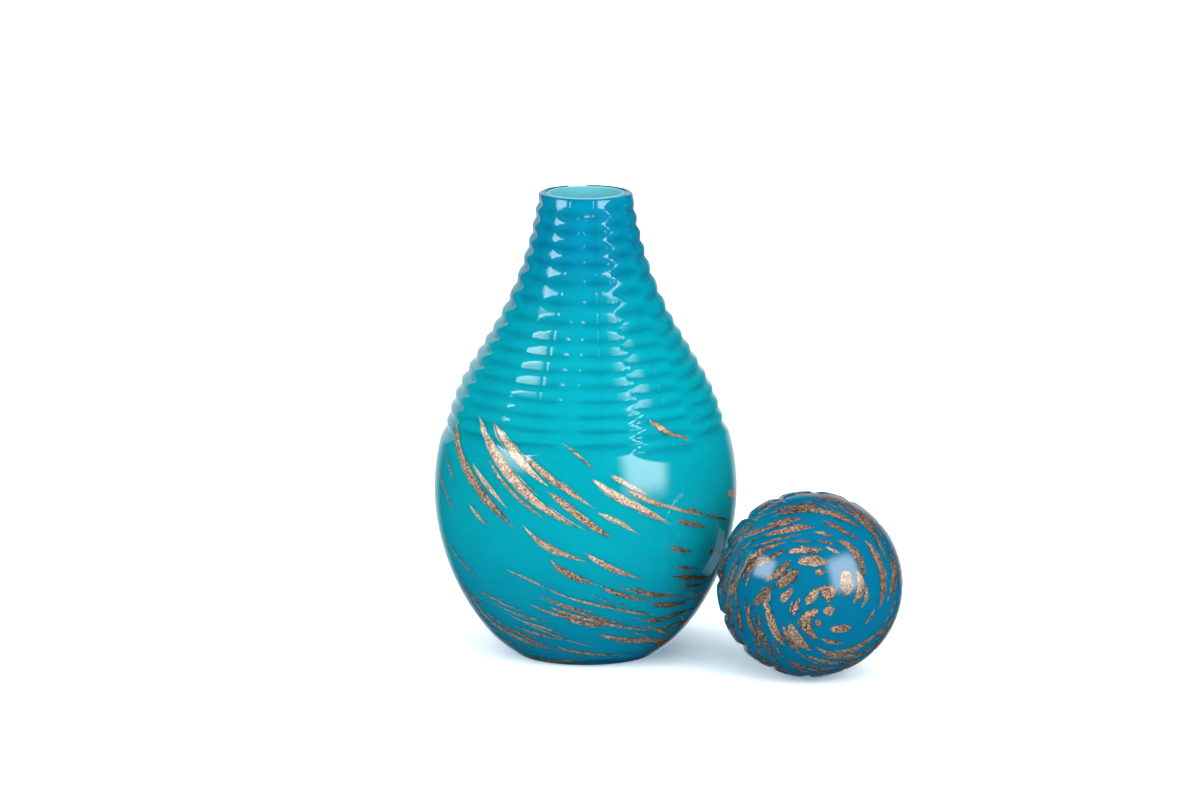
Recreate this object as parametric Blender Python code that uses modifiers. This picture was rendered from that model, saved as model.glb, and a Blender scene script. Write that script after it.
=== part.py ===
"""Decorative cased-glass bottle with a cut shoulder, and the ball stopper that lies beside it.

Metres, +Z up. The origin is the centre of the ground foot, and +Y points away from the front.
The bottle is an opal glass lining inside a clear glass casing. The stopper is an opal glass ball
inside a clear casing, with a ground glass peg. Both casings carry wheel-cut columns: a stack of
pointed lens cuts, with one fine groove down its middle that is called the spine here.
"""

import math

import bmesh
import bpy
import numpy as np
from mathutils import Matrix, Vector

# Mouth, which the peg fits
BORE_DIAMETER = 0.0366
BORE_DEPTH = 0.012
BORE_LEAD = 0.006
MOUTH_LINING_WALL = 0.0013
LIP_ROUNDING = 0.0016

# Bottle outline
BOTTLE_HEIGHT = 0.240
BELLY_HEIGHT = 0.087
BELLY_DIAMETER = 0.156
FOOT_DIAMETER = 0.0728

# Height above the foot as a share of the belly's, and the way out from foot to belly
LOWER_OUTLINE_SHARES = (
    (0.0, 0.0),
    (0.083, 0.226),
    (0.221, 0.474),
    (0.414, 0.716),
    (0.634, 0.892),
    (0.855, 0.985),
)
# Height above the belly as a share of the way to the lip, and the way out from lip to belly
UPPER_OUTLINE_SHARES = (
    (0.0, 1.0),
    (0.110, 0.972),
    (0.216, 0.900),
    (0.341, 0.776),
    (0.467, 0.574),
    (0.592, 0.364),
    (0.718, 0.205),
    (0.843, 0.094),
    (1.0, 0.0),
)

# Glass layers of the bottle
WALL_UNDER_CUTS = 0.0010
BASE_THICKNESS = 0.0050
LINING_WALL = 0.0020
LINING_FLOOR = 0.0030
INNER_CORNER = 0.0040
LAYER_GAP = 0.0003

# Wheel cuts on the bottle's shoulder, each row's height against the mean row
BOTTLE_COLUMNS = 12
CUT_TOP_BAND = 0.0010
CUT_ZONE_HEIGHT = 0.1245
ROW_HEIGHT_SHARES = (
    (1.00, 1.01, 1.02, 1.04, 1.16, 1.26, 1.19, 1.02)
    + (0.90, 0.91, 0.90, 0.91, 0.93, 0.93, 0.91, 0.89)
)
SPINE_DEPTH = 0.0005
SPINE_TIP_DROP = 0.0040
SEAM_TURN = math.radians(-68.5)

# Ball stopper and its peg
BALL_DIAMETER = 0.0952
BALL_WALL_UNDER_CUTS = 0.0018
PEG_CLEARANCE = 0.0004
PEG_LENGTH = 0.024
PEG_TAPER = 0.0012
PEG_CHAMFER = 0.0010

# Wheel cuts on the ball's peg side
BALL_COLUMNS = 16
BALL_ROWS = 7
BALL_CUT_TOP = math.radians(13)
BALL_CUT_BOTTOM = math.radians(-58)
BALL_SPINE_DEPTH = 0.0004
BALL_SPINE_TIP_DROP = 0.0035

# The bite of the cutting wheel
LENS_LENGTH_SHARE = 0.96
RIDGE_SHARE = 0.70
WING_SHARE = 1.5
CUTTER_END_SHARE = 0.985
SPINE_SPREAD_SHARE = 1.1
OVERRUN = 0.003

# Where the stopper lies, with its pole towards the front
STOPPER_STANDOFF = 0.0019
STOPPER_BEARING = math.radians(-26.6)
POLE_TURN = math.radians(11.7)
POLE_RISE = math.radians(9.7)

# Facets
BOTTLE_STEPS = 48
LOWER_RINGS = 9
UPPER_RINGS = 12
INNER_RINGS = 9
BALL_STEPS = 32
BALL_RINGS = 11
ARC_POINTS = 4
ROWS_PER_SPINE_STATION = 3
SHARP_ANGLE = math.radians(25)
WELD_DISTANCE = 0.00001

CLEAR_GLASS = (0.80, 0.93, 0.96)
BOTTLE_OPAL = (0.0, 0.42, 0.55)
STOPPER_OPAL = (0.0, 0.34, 0.52)
GROUND_GLASS = (0.78, 0.88, 0.92)

BOTTLE_COLUMN = math.tau / BOTTLE_COLUMNS
BALL_COLUMN = math.tau / BALL_COLUMNS
BELLY_RADIUS = BELLY_DIAMETER / 2
FOOT_RADIUS = FOOT_DIAMETER / 2
BORE_RADIUS = BORE_DIAMETER / 2
BALL_RADIUS = BALL_DIAMETER / 2
PEG_RADIUS = BORE_RADIUS - PEG_CLEARANCE


def valley_depth(radius, column):
    """How far a straight cut, from tip to tip of one lens, goes under a round surface."""
    return radius * (1 - math.cos(LENS_LENGTH_SHARE * column / 2))


CASING_WALL = valley_depth(BELLY_RADIUS, BOTTLE_COLUMN) + SPINE_DEPTH + WALL_UNDER_CUTS
BALL_WALL = valley_depth(BALL_RADIUS, BALL_COLUMN) + BALL_SPINE_DEPTH + BALL_WALL_UNDER_CUTS
LIP_RADIUS = BORE_RADIUS + MOUTH_LINING_WALL + LAYER_GAP + CASING_WALL
CORE_RADIUS = BALL_RADIUS - BALL_WALL - LAYER_GAP


def clear_scene():
    for obj in list(bpy.data.objects):
        bpy.data.objects.remove(obj, do_unlink=True)


def new_collection(name):
    collection = bpy.data.collections.new(name)
    bpy.context.scene.collection.children.link(collection)
    return collection


def glass(name, color, roughness, transmission):
    material = bpy.data.materials.new(name)
    material.use_nodes = True
    shader = material.node_tree.nodes["Principled BSDF"]
    shader.inputs["Base Color"].default_value = (*color, 1.0)
    shader.inputs["Roughness"].default_value = roughness
    shader.inputs["Metallic"].default_value = 0.0
    shader.inputs["Transmission Weight"].default_value = transmission
    material.diffuse_color = (*color, 1.0)
    return material


def outline_stations():
    """Heights and radii of the bottle's outside, from the foot to the lip."""
    lower = [
        (share * BELLY_HEIGHT, FOOT_RADIUS + out * (BELLY_RADIUS - FOOT_RADIUS))
        for share, out in LOWER_OUTLINE_SHARES
    ]
    rise = BOTTLE_HEIGHT - BELLY_HEIGHT
    upper = [
        (BELLY_HEIGHT + share * rise, LIP_RADIUS + out * (BELLY_RADIUS - LIP_RADIUS))
        for share, out in UPPER_OUTLINE_SHARES
    ]
    return np.array(lower + upper).T


STATION_HEIGHTS, STATION_RADII = outline_stations()
STATION_SLOPES = np.gradient(STATION_RADII, STATION_HEIGHTS)


def outline(height):
    """Radius and slope of the outside at a height, by one cubic between each two stations."""
    last = len(STATION_HEIGHTS) - 2
    i = min(max(int(np.searchsorted(STATION_HEIGHTS, height)) - 1, 0), last)
    low, high = STATION_HEIGHTS[i : i + 2]
    start, end = STATION_RADII[i : i + 2]
    span = high - low
    t = (height - low) / span
    rise = end - start
    a = STATION_SLOPES[i] * span - rise
    b = rise - STATION_SLOPES[i + 1] * span
    radius = start + t * rise + t * (1 - t) * (a * (1 - t) + b * t)
    slope = (rise + (1 - 2 * t) * (a * (1 - t) + b * t) + t * (1 - t) * (b - a)) / span
    return float(radius), float(slope)


def outline_normal(height):
    """Direction out of the glass, as (radius, height), at a height of the outside."""
    slope = outline(height)[1]
    return Vector((1, -slope)).normalized()


def inside_radius(height, depth):
    """Radius of a layer that lies this deep under the bottle's outside."""
    radius, slope = outline(height)
    return radius - depth * math.hypot(1, slope)


def inside_profile(depth, floor):
    """A layer's inner side, from the axis over its floor and up to the lip."""
    corner_top = floor + INNER_CORNER
    corner = inside_radius(floor, depth)
    start = Vector((corner - INNER_CORNER, floor))
    middle = Vector((corner, floor))
    end = Vector((inside_radius(corner_top, depth), corner_top))
    points = [(0.0, floor)]
    for t in np.linspace(0, 1, ARC_POINTS):
        bend = start.lerp(middle, t).lerp(middle.lerp(end, t), t)
        points.append((bend.x, bend.y))
    for height in np.linspace(corner_top, BOTTLE_HEIGHT, INNER_RINGS)[1:]:
        points.append((inside_radius(height, depth), height))
    return points


def turned(name, profile, steps, material, collection, parent):
    """A profile in the XZ plane turned about Z. It runs down the outer side."""
    mesh = bpy.data.meshes.new(name)
    edges = [(i, i + 1) for i in range(len(profile) - 1)]
    mesh.from_pydata([(radius, 0.0, height) for radius, height in profile], edges, [])
    obj = bpy.data.objects.new(name, mesh)
    collection.objects.link(obj)
    obj.parent = parent
    screw = obj.modifiers.new("Turn", "SCREW")
    screw.axis = "Z"
    screw.steps = steps
    screw.render_steps = steps
    screw.use_merge_vertices = True
    screw.merge_threshold = WELD_DISTANCE
    obj.data.materials.append(material)
    return obj


def cut(obj, cutters):
    for cutter in cutters:
        boolean = obj.modifiers.new(cutter.name, "BOOLEAN")
        boolean.operation = "DIFFERENCE"
        boolean.solver = "EXACT"
        boolean.object = cutter


def settle(obj):
    """Keeps the finished surface as the object's own mesh, smooth but for its real edges."""
    material = obj.data.materials[0]
    finished = obj.evaluated_get(bpy.context.evaluated_depsgraph_get())
    mesh = bpy.data.meshes.new_from_object(finished)
    mesh.materials.clear()
    mesh.materials.append(material)
    mesh.shade_smooth()
    mesh.set_sharp_from_angle(angle=SHARP_ANGLE)
    obj.modifiers.clear()
    obj.data = mesh
    mesh.name = obj.name


def lens_section(radius, height, normal, half_height, column):
    """Section of one lens cut. Its valley meets the round surface at the lens's two tips."""
    along = Vector((-normal.y, normal.x))
    sag = valley_depth(radius, column)
    valley = Vector((radius - sag, height))
    wing = WING_SHARE * half_height
    lift = normal * (wing * RIDGE_SHARE * sag * normal.x / half_height)
    upper = valley + along * wing + lift
    lower = valley - along * wing + lift
    return (valley, upper, upper + normal * OVERRUN, lower + normal * OVERRUN, lower)


def lens_wedge(section, column):
    """The section drawn straight sideways, up to two planes through the axis."""
    shape = bmesh.new()
    side = math.tan(CUTTER_END_SHARE * column / 2)
    for radius, height in section:
        shape.verts.new((radius, -radius * side, height))
        shape.verts.new((radius, radius * side, height))
    bmesh.ops.convex_hull(shape, input=shape.verts)
    bmesh.ops.recalc_face_normals(shape, faces=shape.faces)
    return shape


def spine_wedge(stations):
    """A vee groove that follows the surface: (point, normal, depth) at each station."""
    shape = bmesh.new()
    rings = []
    for point, normal, depth in stations:
        keel = point - normal * depth
        outer = point + normal * OVERRUN
        spread = (depth + OVERRUN) * SPINE_SPREAD_SHARE
        corners = ((keel.x, 0.0, keel.y), (outer.x, spread, outer.y), (outer.x, -spread, outer.y))
        rings.append([shape.verts.new(corner) for corner in corners])
    for ring, following in zip(rings, rings[1:]):
        for i in range(len(ring)):
            j = (i + 1) % len(ring)
            shape.faces.new((ring[i], ring[j], following[j], following[i]))
    shape.faces.new(rings[0])
    shape.faces.new(rings[-1])
    bmesh.ops.recalc_face_normals(shape, faces=shape.faces)
    return shape


def ring_of(name, shape, columns, collection, parent):
    """One cutter object: the shape repeated in the middle of every column."""
    single = bpy.data.meshes.new("one bite")
    shape.to_mesh(single)
    shape.free()
    ring = bmesh.new()
    for column in range(columns):
        before = len(ring.verts)
        ring.from_mesh(single)
        ring.verts.ensure_lookup_table()
        turn = Matrix.Rotation((2 * column + 1) * math.pi / columns, 3, "Z")
        bmesh.ops.rotate(ring, cent=(0, 0, 0), matrix=turn, verts=ring.verts[before:])
    mesh = bpy.data.meshes.new(name)
    ring.to_mesh(mesh)
    ring.free()
    bpy.data.meshes.remove(single)
    obj = bpy.data.objects.new(name, mesh)
    collection.objects.link(obj)
    obj.parent = parent
    obj.hide_render = True
    obj.display_type = "WIRE"
    return obj


def every(bounds, rows):
    """Each so many of the row bounds, and the last one."""
    picked = list(bounds[::rows])
    return picked if picked[-1] == bounds[-1] else picked + [bounds[-1]]


def shoulder_cutters(collection, parent):
    """Rows of lens cuts from the lip down to the belly, then the spines."""
    heights = np.cumsum((0.0, *ROW_HEIGHT_SHARES)) / sum(ROW_HEIGHT_SHARES)
    bounds = BOTTLE_HEIGHT - CUT_TOP_BAND - heights * CUT_ZONE_HEIGHT
    cutters = []
    for row, (top, bottom) in enumerate(zip(bounds, bounds[1:]), 1):
        height = (top + bottom) / 2
        radius, slope = outline(height)
        half_height = (top - bottom) / 2 * math.hypot(1, slope)
        normal = outline_normal(height)
        section = lens_section(radius, height, normal, half_height, BOTTLE_COLUMN)
        shape = lens_wedge(section, BOTTLE_COLUMN)
        name = f"shoulder_cut_{row:02d}"
        cutters.append(ring_of(name, shape, BOTTLE_COLUMNS, collection, parent))
    stations = []
    for height in (BOTTLE_HEIGHT + OVERRUN, *every(bounds, ROWS_PER_SPINE_STATION)):
        on_glass = min(height, BOTTLE_HEIGHT)
        radius = outline(on_glass)[0]
        normal = outline_normal(on_glass)
        depth = valley_depth(radius, BOTTLE_COLUMN) * normal.x + SPINE_DEPTH
        stations.append((Vector((radius, height)), normal, depth))
    tip = bounds[-1] - SPINE_TIP_DROP
    stations.append((Vector((outline(tip)[0], tip)), outline_normal(tip), 0.0))
    shape = spine_wedge(stations)
    cutters.append(ring_of("shoulder_spines", shape, BOTTLE_COLUMNS, collection, parent))
    return cutters


def ball_cutters(collection, parent):
    """Rows of lens cuts from just over the ball's middle down to its peg, then the spines."""
    bounds = np.linspace(BALL_CUT_TOP, BALL_CUT_BOTTOM, BALL_ROWS + 1)
    cutters = []
    for row, (top, bottom) in enumerate(zip(bounds, bounds[1:]), 1):
        latitude = (top + bottom) / 2
        normal = Vector((math.cos(latitude), math.sin(latitude)))
        half_height = BALL_RADIUS * (top - bottom) / 2
        radius, height = normal * BALL_RADIUS
        section = lens_section(radius, height, normal, half_height, BALL_COLUMN)
        shape = lens_wedge(section, BALL_COLUMN)
        cutters.append(ring_of(f"ball_cut_{row}", shape, BALL_COLUMNS, collection, parent))
    tip = BALL_CUT_TOP + BALL_SPINE_TIP_DROP / BALL_RADIUS
    stations = []
    for latitude in (tip, *every(bounds, ROWS_PER_SPINE_STATION)):
        normal = Vector((math.cos(latitude), math.sin(latitude)))
        radius = BALL_RADIUS * normal.x
        depth = valley_depth(radius, BALL_COLUMN) * normal.x + BALL_SPINE_DEPTH
        stations.append((normal * BALL_RADIUS, normal, 0.0 if latitude == tip else depth))
    shape = spine_wedge(stations)
    cutters.append(ring_of("ball_spines", shape, BALL_COLUMNS, collection, parent))
    return cutters


def bottle_casing(collection, cutter_collection, parent):
    """Clear outer gather: smooth belly, thick base and ground foot, cut shoulder."""
    points = inside_profile(CASING_WALL, BASE_THICKNESS)
    neck_top = BOTTLE_HEIGHT - LIP_ROUNDING
    for angle in np.linspace(math.pi / 2, 0, ARC_POINTS):
        radius = LIP_RADIUS - LIP_ROUNDING * (1 - math.cos(angle))
        points.append((radius, neck_top + LIP_ROUNDING * math.sin(angle)))
    for height in np.linspace(neck_top, BELLY_HEIGHT, UPPER_RINGS)[1:]:
        points.append((outline(height)[0], height))
    for height in np.linspace(BELLY_HEIGHT, 0, LOWER_RINGS)[1:]:
        points.append((outline(height)[0], height))
    points.append((0.0, 0.0))
    clear = glass("clear casing glass", CLEAR_GLASS, 0.03, 0.9)
    obj = turned("bottle_casing", points, BOTTLE_STEPS, clear, collection, parent)
    cut(obj, shoulder_cutters(cutter_collection, parent))
    return obj


def bottle_lining(collection, parent):
    """Opal inner gather, thick at the mouth, where it is ground to a straight bore."""
    floor = BASE_THICKNESS + LAYER_GAP
    outer = inside_profile(CASING_WALL + LAYER_GAP, floor)
    inner = inside_profile(CASING_WALL + LAYER_GAP + LINING_WALL, floor + LINING_FLOOR)
    bore_end = BOTTLE_HEIGHT - BORE_DEPTH
    inner = [point for point in inner if point[1] < bore_end - BORE_LEAD]
    inner += [(BORE_RADIUS, bore_end), (BORE_RADIUS, BOTTLE_HEIGHT)]
    opal = glass("opal lining glass", BOTTLE_OPAL, 0.15, 0.0)
    return turned("bottle_lining", inner + outer[::-1], BOTTLE_STEPS, opal, collection, parent)


def sphere_profile(radius, flat_radius):
    """From the pole down to where the sphere meets a hole, or a flat, of this radius."""
    last = math.asin(flat_radius / radius) - math.pi / 2
    angles = np.linspace(math.pi / 2, last, BALL_RINGS)[1:]
    return [(0.0, radius)] + [(radius * math.cos(a), radius * math.sin(a)) for a in angles]


def stopper_core(collection, parent):
    """Opal ball under the clear glass, flat where the peg is joined to it."""
    points = sphere_profile(CORE_RADIUS, PEG_RADIUS)
    points.append((0.0, points[-1][1]))
    opal = glass("opal stopper glass", STOPPER_OPAL, 0.15, 0.0)
    return turned("stopper_core", points, BALL_STEPS, opal, collection, parent)


def stopper_casing(collection, cutter_collection, parent):
    """Clear gather round the ball, open where the peg comes out of it."""
    hole = PEG_RADIUS + LAYER_GAP
    outer = sphere_profile(BALL_RADIUS, hole)
    inner = sphere_profile(CORE_RADIUS + LAYER_GAP, hole)
    clear = glass("clear stopper glass", CLEAR_GLASS, 0.03, 0.9)
    obj = turned("stopper_casing", outer + inner[::-1], BALL_STEPS, clear, collection, parent)
    cut(obj, ball_cutters(cutter_collection, parent))
    return obj


def stopper_peg(collection, parent):
    """Ground plug. Its root sits on the core's flat, and its end goes into the bore."""
    root = -math.sqrt(CORE_RADIUS**2 - PEG_RADIUS**2) - LAYER_GAP
    ball_face = -math.sqrt(BALL_RADIUS**2 - PEG_RADIUS**2)
    end = ball_face - PEG_LENGTH
    end_radius = PEG_RADIUS - PEG_TAPER
    points = [
        (0.0, root),
        (PEG_RADIUS, root),
        (PEG_RADIUS, ball_face),
        (end_radius, end + PEG_CHAMFER),
        (end_radius - PEG_CHAMFER, end),
        (0.0, end),
    ]
    ground = glass("ground peg glass", GROUND_GLASS, 0.45, 0.7)
    return turned("stopper_peg", points, BALL_STEPS, ground, collection, parent)


def empty(name, location, rotation, collection):
    obj = bpy.data.objects.new(name, None)
    collection.objects.link(obj)
    obj.location = location
    obj.rotation_euler = rotation
    return obj


def main():
    clear_scene()
    parts = new_collection("Ball-stoppered cut bottle")
    cutters = new_collection("Wheel cutters")

    bottle_axis = empty("bottle_axis", (0, 0, 0), (0, 0, SEAM_TURN), parts)
    nodes = [
        bottle_lining(parts, bottle_axis),
        bottle_casing(parts, cutters, bottle_axis),
    ]

    reach = BELLY_RADIUS + STOPPER_STANDOFF + BALL_RADIUS
    side = reach * math.cos(STOPPER_BEARING)
    forward = reach * math.sin(STOPPER_BEARING)
    lean = math.pi / 2 - POLE_RISE
    stopper_axis = empty("stopper_axis", (side, forward, BALL_RADIUS), (lean, 0, POLE_TURN), parts)
    nodes += [
        stopper_core(parts, stopper_axis),
        stopper_casing(parts, cutters, stopper_axis),
        stopper_peg(parts, stopper_axis),
    ]
    for node in nodes:
        settle(node)


main()
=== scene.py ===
"""Looks of the cut-glass bottle and its ball stopper, worked out with numpy around the frame."""
import math

import bpy
import numpy as np
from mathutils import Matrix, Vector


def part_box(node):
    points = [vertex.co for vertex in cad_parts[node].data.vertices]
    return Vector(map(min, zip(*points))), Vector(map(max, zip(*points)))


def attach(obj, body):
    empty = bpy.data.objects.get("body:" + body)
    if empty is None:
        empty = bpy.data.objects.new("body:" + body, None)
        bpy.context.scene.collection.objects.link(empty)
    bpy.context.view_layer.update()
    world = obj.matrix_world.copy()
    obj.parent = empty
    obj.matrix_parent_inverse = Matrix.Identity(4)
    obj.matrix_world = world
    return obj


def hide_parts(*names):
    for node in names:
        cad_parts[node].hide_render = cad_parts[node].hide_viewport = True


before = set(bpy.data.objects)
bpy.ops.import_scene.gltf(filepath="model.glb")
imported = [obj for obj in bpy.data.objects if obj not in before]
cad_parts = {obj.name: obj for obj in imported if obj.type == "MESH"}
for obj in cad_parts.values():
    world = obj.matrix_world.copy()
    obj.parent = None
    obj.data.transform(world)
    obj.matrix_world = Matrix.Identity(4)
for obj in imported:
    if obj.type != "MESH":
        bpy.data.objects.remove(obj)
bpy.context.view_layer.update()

# Stage, lights and camera
# A white table top in a dark studio, with a soft box to the left and one to the right of the
# front, a broad soft sun overhead and a long lens a little over three and a half metres away.
PHOTO_SIZE = (1200, 798)
FOCAL_PIXELS = 7000.0
SENSOR_WIDTH = 36.0
CAMERA_PLACE = np.array((0.00737, -3.5322, 0.8232))
CAMERA_PITCH = math.radians(11.07)

FLOOR_DROP = 0.0002
FLOOR_HALF = 6.0
FLOOR_WHITE = (0.95, 0.96, 0.97)
FLOOR_ROUGHNESS = 0.9
FLOOR_GLOW = (0.66, 0.88, 1.0)
FLOOR_GLOW_STRENGTH = 0.32
ROOM_DARK = (0.015, 0.018, 0.022)
ROOM_BACK = (0.80, 0.86, 0.90)
ROOM_BACK_FROM = 0.80
ROOM_BACK_FULL = 0.98
ROOM_SEEN = (1.0, 1.0, 1.0)
OVERHEAD_STRENGTH = 4.45
OVERHEAD_SPREAD = math.radians(100)
OVERHEAD_TINT = (0.93, 0.98, 1.0)
OVERHEAD_LEAN_BACK = math.radians(20)
OVERHEAD_LEAN_RIGHT = math.radians(-5)
SOFT_BOX_DISTANCE = 1.25
SOFT_BOX_EDGE = 0.60
SOFT_BOX_AIM = (0.05, -0.03, 0.07)

# Name, azimuth and elevation in degrees, width and height in metres, and power in watts
SOFT_BOXES = (
    ("soft_box_left", -62.0, 23.0, 0.80, 0.66, 13.0),
    ("soft_box_right", 46.0, 19.5, 1.10, 1.16, 31.0),
)


def feed(tree, node, inputs):
    """Sets inputs of a shader node, each to a value or to the output of another node."""
    for key, source in inputs.items():
        if isinstance(source, bpy.types.NodeSocket):
            tree.links.new(source, node.inputs[key])
        else:
            node.inputs[key].default_value = source


def shader_node(tree, kind, inputs, **settings):
    """Adds a shader node with these inputs and settings, and gives back its outputs."""
    node = tree.nodes.new("ShaderNode" + kind)
    for setting, value in settings.items():
        setattr(node, setting, value)
    feed(tree, node, inputs)
    return node.outputs


def mixed_color(tree, share, first, second):
    """A colour that goes from the first to the second as the share goes from 0 to 1."""
    return shader_node(tree, "Mix", {"Factor": share, "A": first, "B": second}, data_type="RGBA")["Result"]


def new_finish(name):
    """A new material, its node tree and its shader."""
    material = bpy.data.materials.new(name)
    material.use_nodes = True
    return material, material.node_tree, material.node_tree.nodes["Principled BSDF"]


def soft_box(name, azimuth, elevation, width, height, watts):
    """A rectangle light on a sphere round the aim point, facing it. Azimuth 0 is the front.

    Its cloth glows evenly in the middle and fades towards the edges, by a smooth step of the
    distance to the nearest edge on each axis.
    """
    light = bpy.data.lights.new(name, "AREA")
    light.shape = "RECTANGLE"
    light.size = width
    light.size_y = height
    light.energy = watts
    light.use_nodes = True
    tree = light.node_tree
    cloth = shader_node(tree, "SeparateXYZ", {0: shader_node(tree, "NewGeometry", {})["Parametric"]})
    fades = []
    for axis in ("X", "Y"):
        to_edge = shader_node(tree, "Math", {0: cloth[axis], 1: 0.5}, operation="PINGPONG")[0]
        reach = {"Value": to_edge, "From Max": SOFT_BOX_EDGE / 2}
        fades.append(shader_node(tree, "MapRange", reach, interpolation_type="SMOOTHSTEP")["Result"])
    glow = shader_node(tree, "Math", {0: fades[0], 1: fades[1]}, operation="MULTIPLY")[0]
    feed(tree, tree.nodes["Emission"], {"Strength": glow})
    box = bpy.data.objects.new(name, light)
    bpy.context.scene.collection.objects.link(box)
    turn = math.radians(azimuth)
    rise = math.radians(elevation)
    out = (math.sin(turn) * math.cos(rise), -math.cos(turn) * math.cos(rise), math.sin(rise))
    box.location = [a + SOFT_BOX_DISTANCE * o for a, o in zip(SOFT_BOX_AIM, out)]
    box.rotation_euler = (math.pi / 2 - rise, 0.0, turn)
    box.visible_camera = False


for soft_box_facts in SOFT_BOXES:
    soft_box(*soft_box_facts)

overhead_light = bpy.data.lights.new("overhead_fill", "SUN")
overhead_light.energy = OVERHEAD_STRENGTH
overhead_light.angle = OVERHEAD_SPREAD
overhead_light.color = OVERHEAD_TINT
overhead = bpy.data.objects.new("overhead_fill", overhead_light)
overhead.rotation_euler = (OVERHEAD_LEAN_BACK, OVERHEAD_LEAN_RIGHT, 0.0)
overhead.visible_glossy = False
bpy.context.scene.collection.objects.link(overhead)

camera = bpy.data.objects.new("camera", bpy.data.cameras.new("camera"))
camera.data.sensor_width = SENSOR_WIDTH
camera.data.lens = FOCAL_PIXELS * SENSOR_WIDTH / PHOTO_SIZE[0]
camera.location = CAMERA_PLACE
camera.rotation_euler = (math.pi / 2 - CAMERA_PITCH, 0.0, 0.0)
bpy.context.scene.collection.objects.link(camera)
bpy.context.scene.camera = camera
bpy.context.scene.view_settings.view_transform = "Standard"

floor_mesh = bpy.data.meshes.new("table_top")
floor_sides = ((-1, -1), (1, -1), (1, 1), (-1, 1))
floor_corners = [(x * FLOOR_HALF, y * FLOOR_HALF, -FLOOR_DROP) for x, y in floor_sides]
floor_mesh.from_pydata(floor_corners, [], [(0, 1, 2, 3)])
floor = bpy.data.objects.new("table_top", floor_mesh)
bpy.context.scene.collection.objects.link(floor)
floor_paint, floor_tree, floor_shader = new_finish("white table top")
feed(floor_tree, floor_shader, {
    "Base Color": (*FLOOR_WHITE, 1.0),
    "Roughness": FLOOR_ROUGHNESS,
    "Emission Color": (*FLOOR_GLOW, 1.0),
    "Emission Strength": FLOOR_GLOW_STRENGTH,
})
floor_mesh.materials.append(floor_paint)
floor.visible_glossy = False

# The room is dark and brightens towards its back, but it shows white to the camera, also
# through clear glass, as long as nothing matt lies between
room = bpy.data.worlds.new("studio room")
room.use_nodes = True
bpy.context.scene.world = room
room_tree = room.node_tree
direction = shader_node(room_tree, "TexCoord", {})["Generated"]
to_back = shader_node(room_tree, "MapRange", {
    "Value": shader_node(room_tree, "SeparateXYZ", {0: direction})["Y"],
    "From Min": ROOM_BACK_FROM,
    "From Max": ROOM_BACK_FULL,
}, interpolation_type="SMOOTHSTEP")["Result"]
room_color = mixed_color(room_tree, to_back, (*ROOM_DARK, 1.0), (*ROOM_BACK, 1.0))
ray = shader_node(room_tree, "LightPath", {})
nothing_matt = shader_node(room_tree, "Math", {0: ray["Diffuse Depth"], 1: 0.5}, operation="LESS_THAN")[0]
through_glass = shader_node(
    room_tree, "Math", {0: nothing_matt, 1: ray["Is Transmission Ray"]}, operation="MULTIPLY",
)[0]
seen = shader_node(room_tree, "Math", {0: through_glass, 1: ray["Is Camera Ray"]}, operation="MAXIMUM")[0]
shown_color = mixed_color(room_tree, seen, room_color, (*ROOM_SEEN, 1.0))
feed(room_tree, room_tree.nodes["Background"], {"Color": shown_color})


# Clear casing of the bottle
# The outer gather of clear glass, blown over the lining and fused to it. The shoulder is cut on
# a wheel in twelve columns of stacked lens cuts, each with one fine groove down its middle.
CASING_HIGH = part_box("bottle_casing")[1]
BOTTLE_HEIGHT = CASING_HIGH.z
BELLY_RADIUS = CASING_HIGH.x
BELLY_HEIGHT_SHARE = 0.3625
BELLY_HEIGHT = BELLY_HEIGHT_SHARE * BOTTLE_HEIGHT
FOOT_RADIUS = 0.0364
LIP_RADIUS = 0.0239
LIP_ROUNDING = 0.0018
FOOT_ROUNDING = 0.0012
CASING_WALL = 0.00395
BASE_THICKNESS = 0.0050
FUSED_OVERLAP = 0.0004
LINING_FLOOR_CORNER = 0.0040
MOUTH_EDGE_DROP = 0.0012

# Share of the height from foot to belly and share of the way out, then the same from belly to lip
LOWER_OUTLINE_SHARES = (
    (0.0, 0.0), (0.083, 0.226), (0.221, 0.474), (0.414, 0.716), (0.634, 0.892), (0.855, 0.985),
)
UPPER_OUTLINE_SHARES = (
    (0.0, 1.0), (0.110, 0.972), (0.216, 0.900), (0.341, 0.776), (0.467, 0.574),
    (0.592, 0.364), (0.718, 0.205), (0.843, 0.094), (1.0, 0.0),
)
station_heights = np.array(
    [h * BELLY_HEIGHT for h, out in LOWER_OUTLINE_SHARES]
    + [BELLY_HEIGHT + h * (BOTTLE_HEIGHT - BELLY_HEIGHT) for h, out in UPPER_OUTLINE_SHARES]
)
station_radii = np.array(
    [FOOT_RADIUS + out * (BELLY_RADIUS - FOOT_RADIUS) for h, out in LOWER_OUTLINE_SHARES]
    + [LIP_RADIUS + out * (BELLY_RADIUS - LIP_RADIUS) for h, out in UPPER_OUTLINE_SHARES]
)
station_slopes = np.gradient(station_radii, station_heights)

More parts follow.
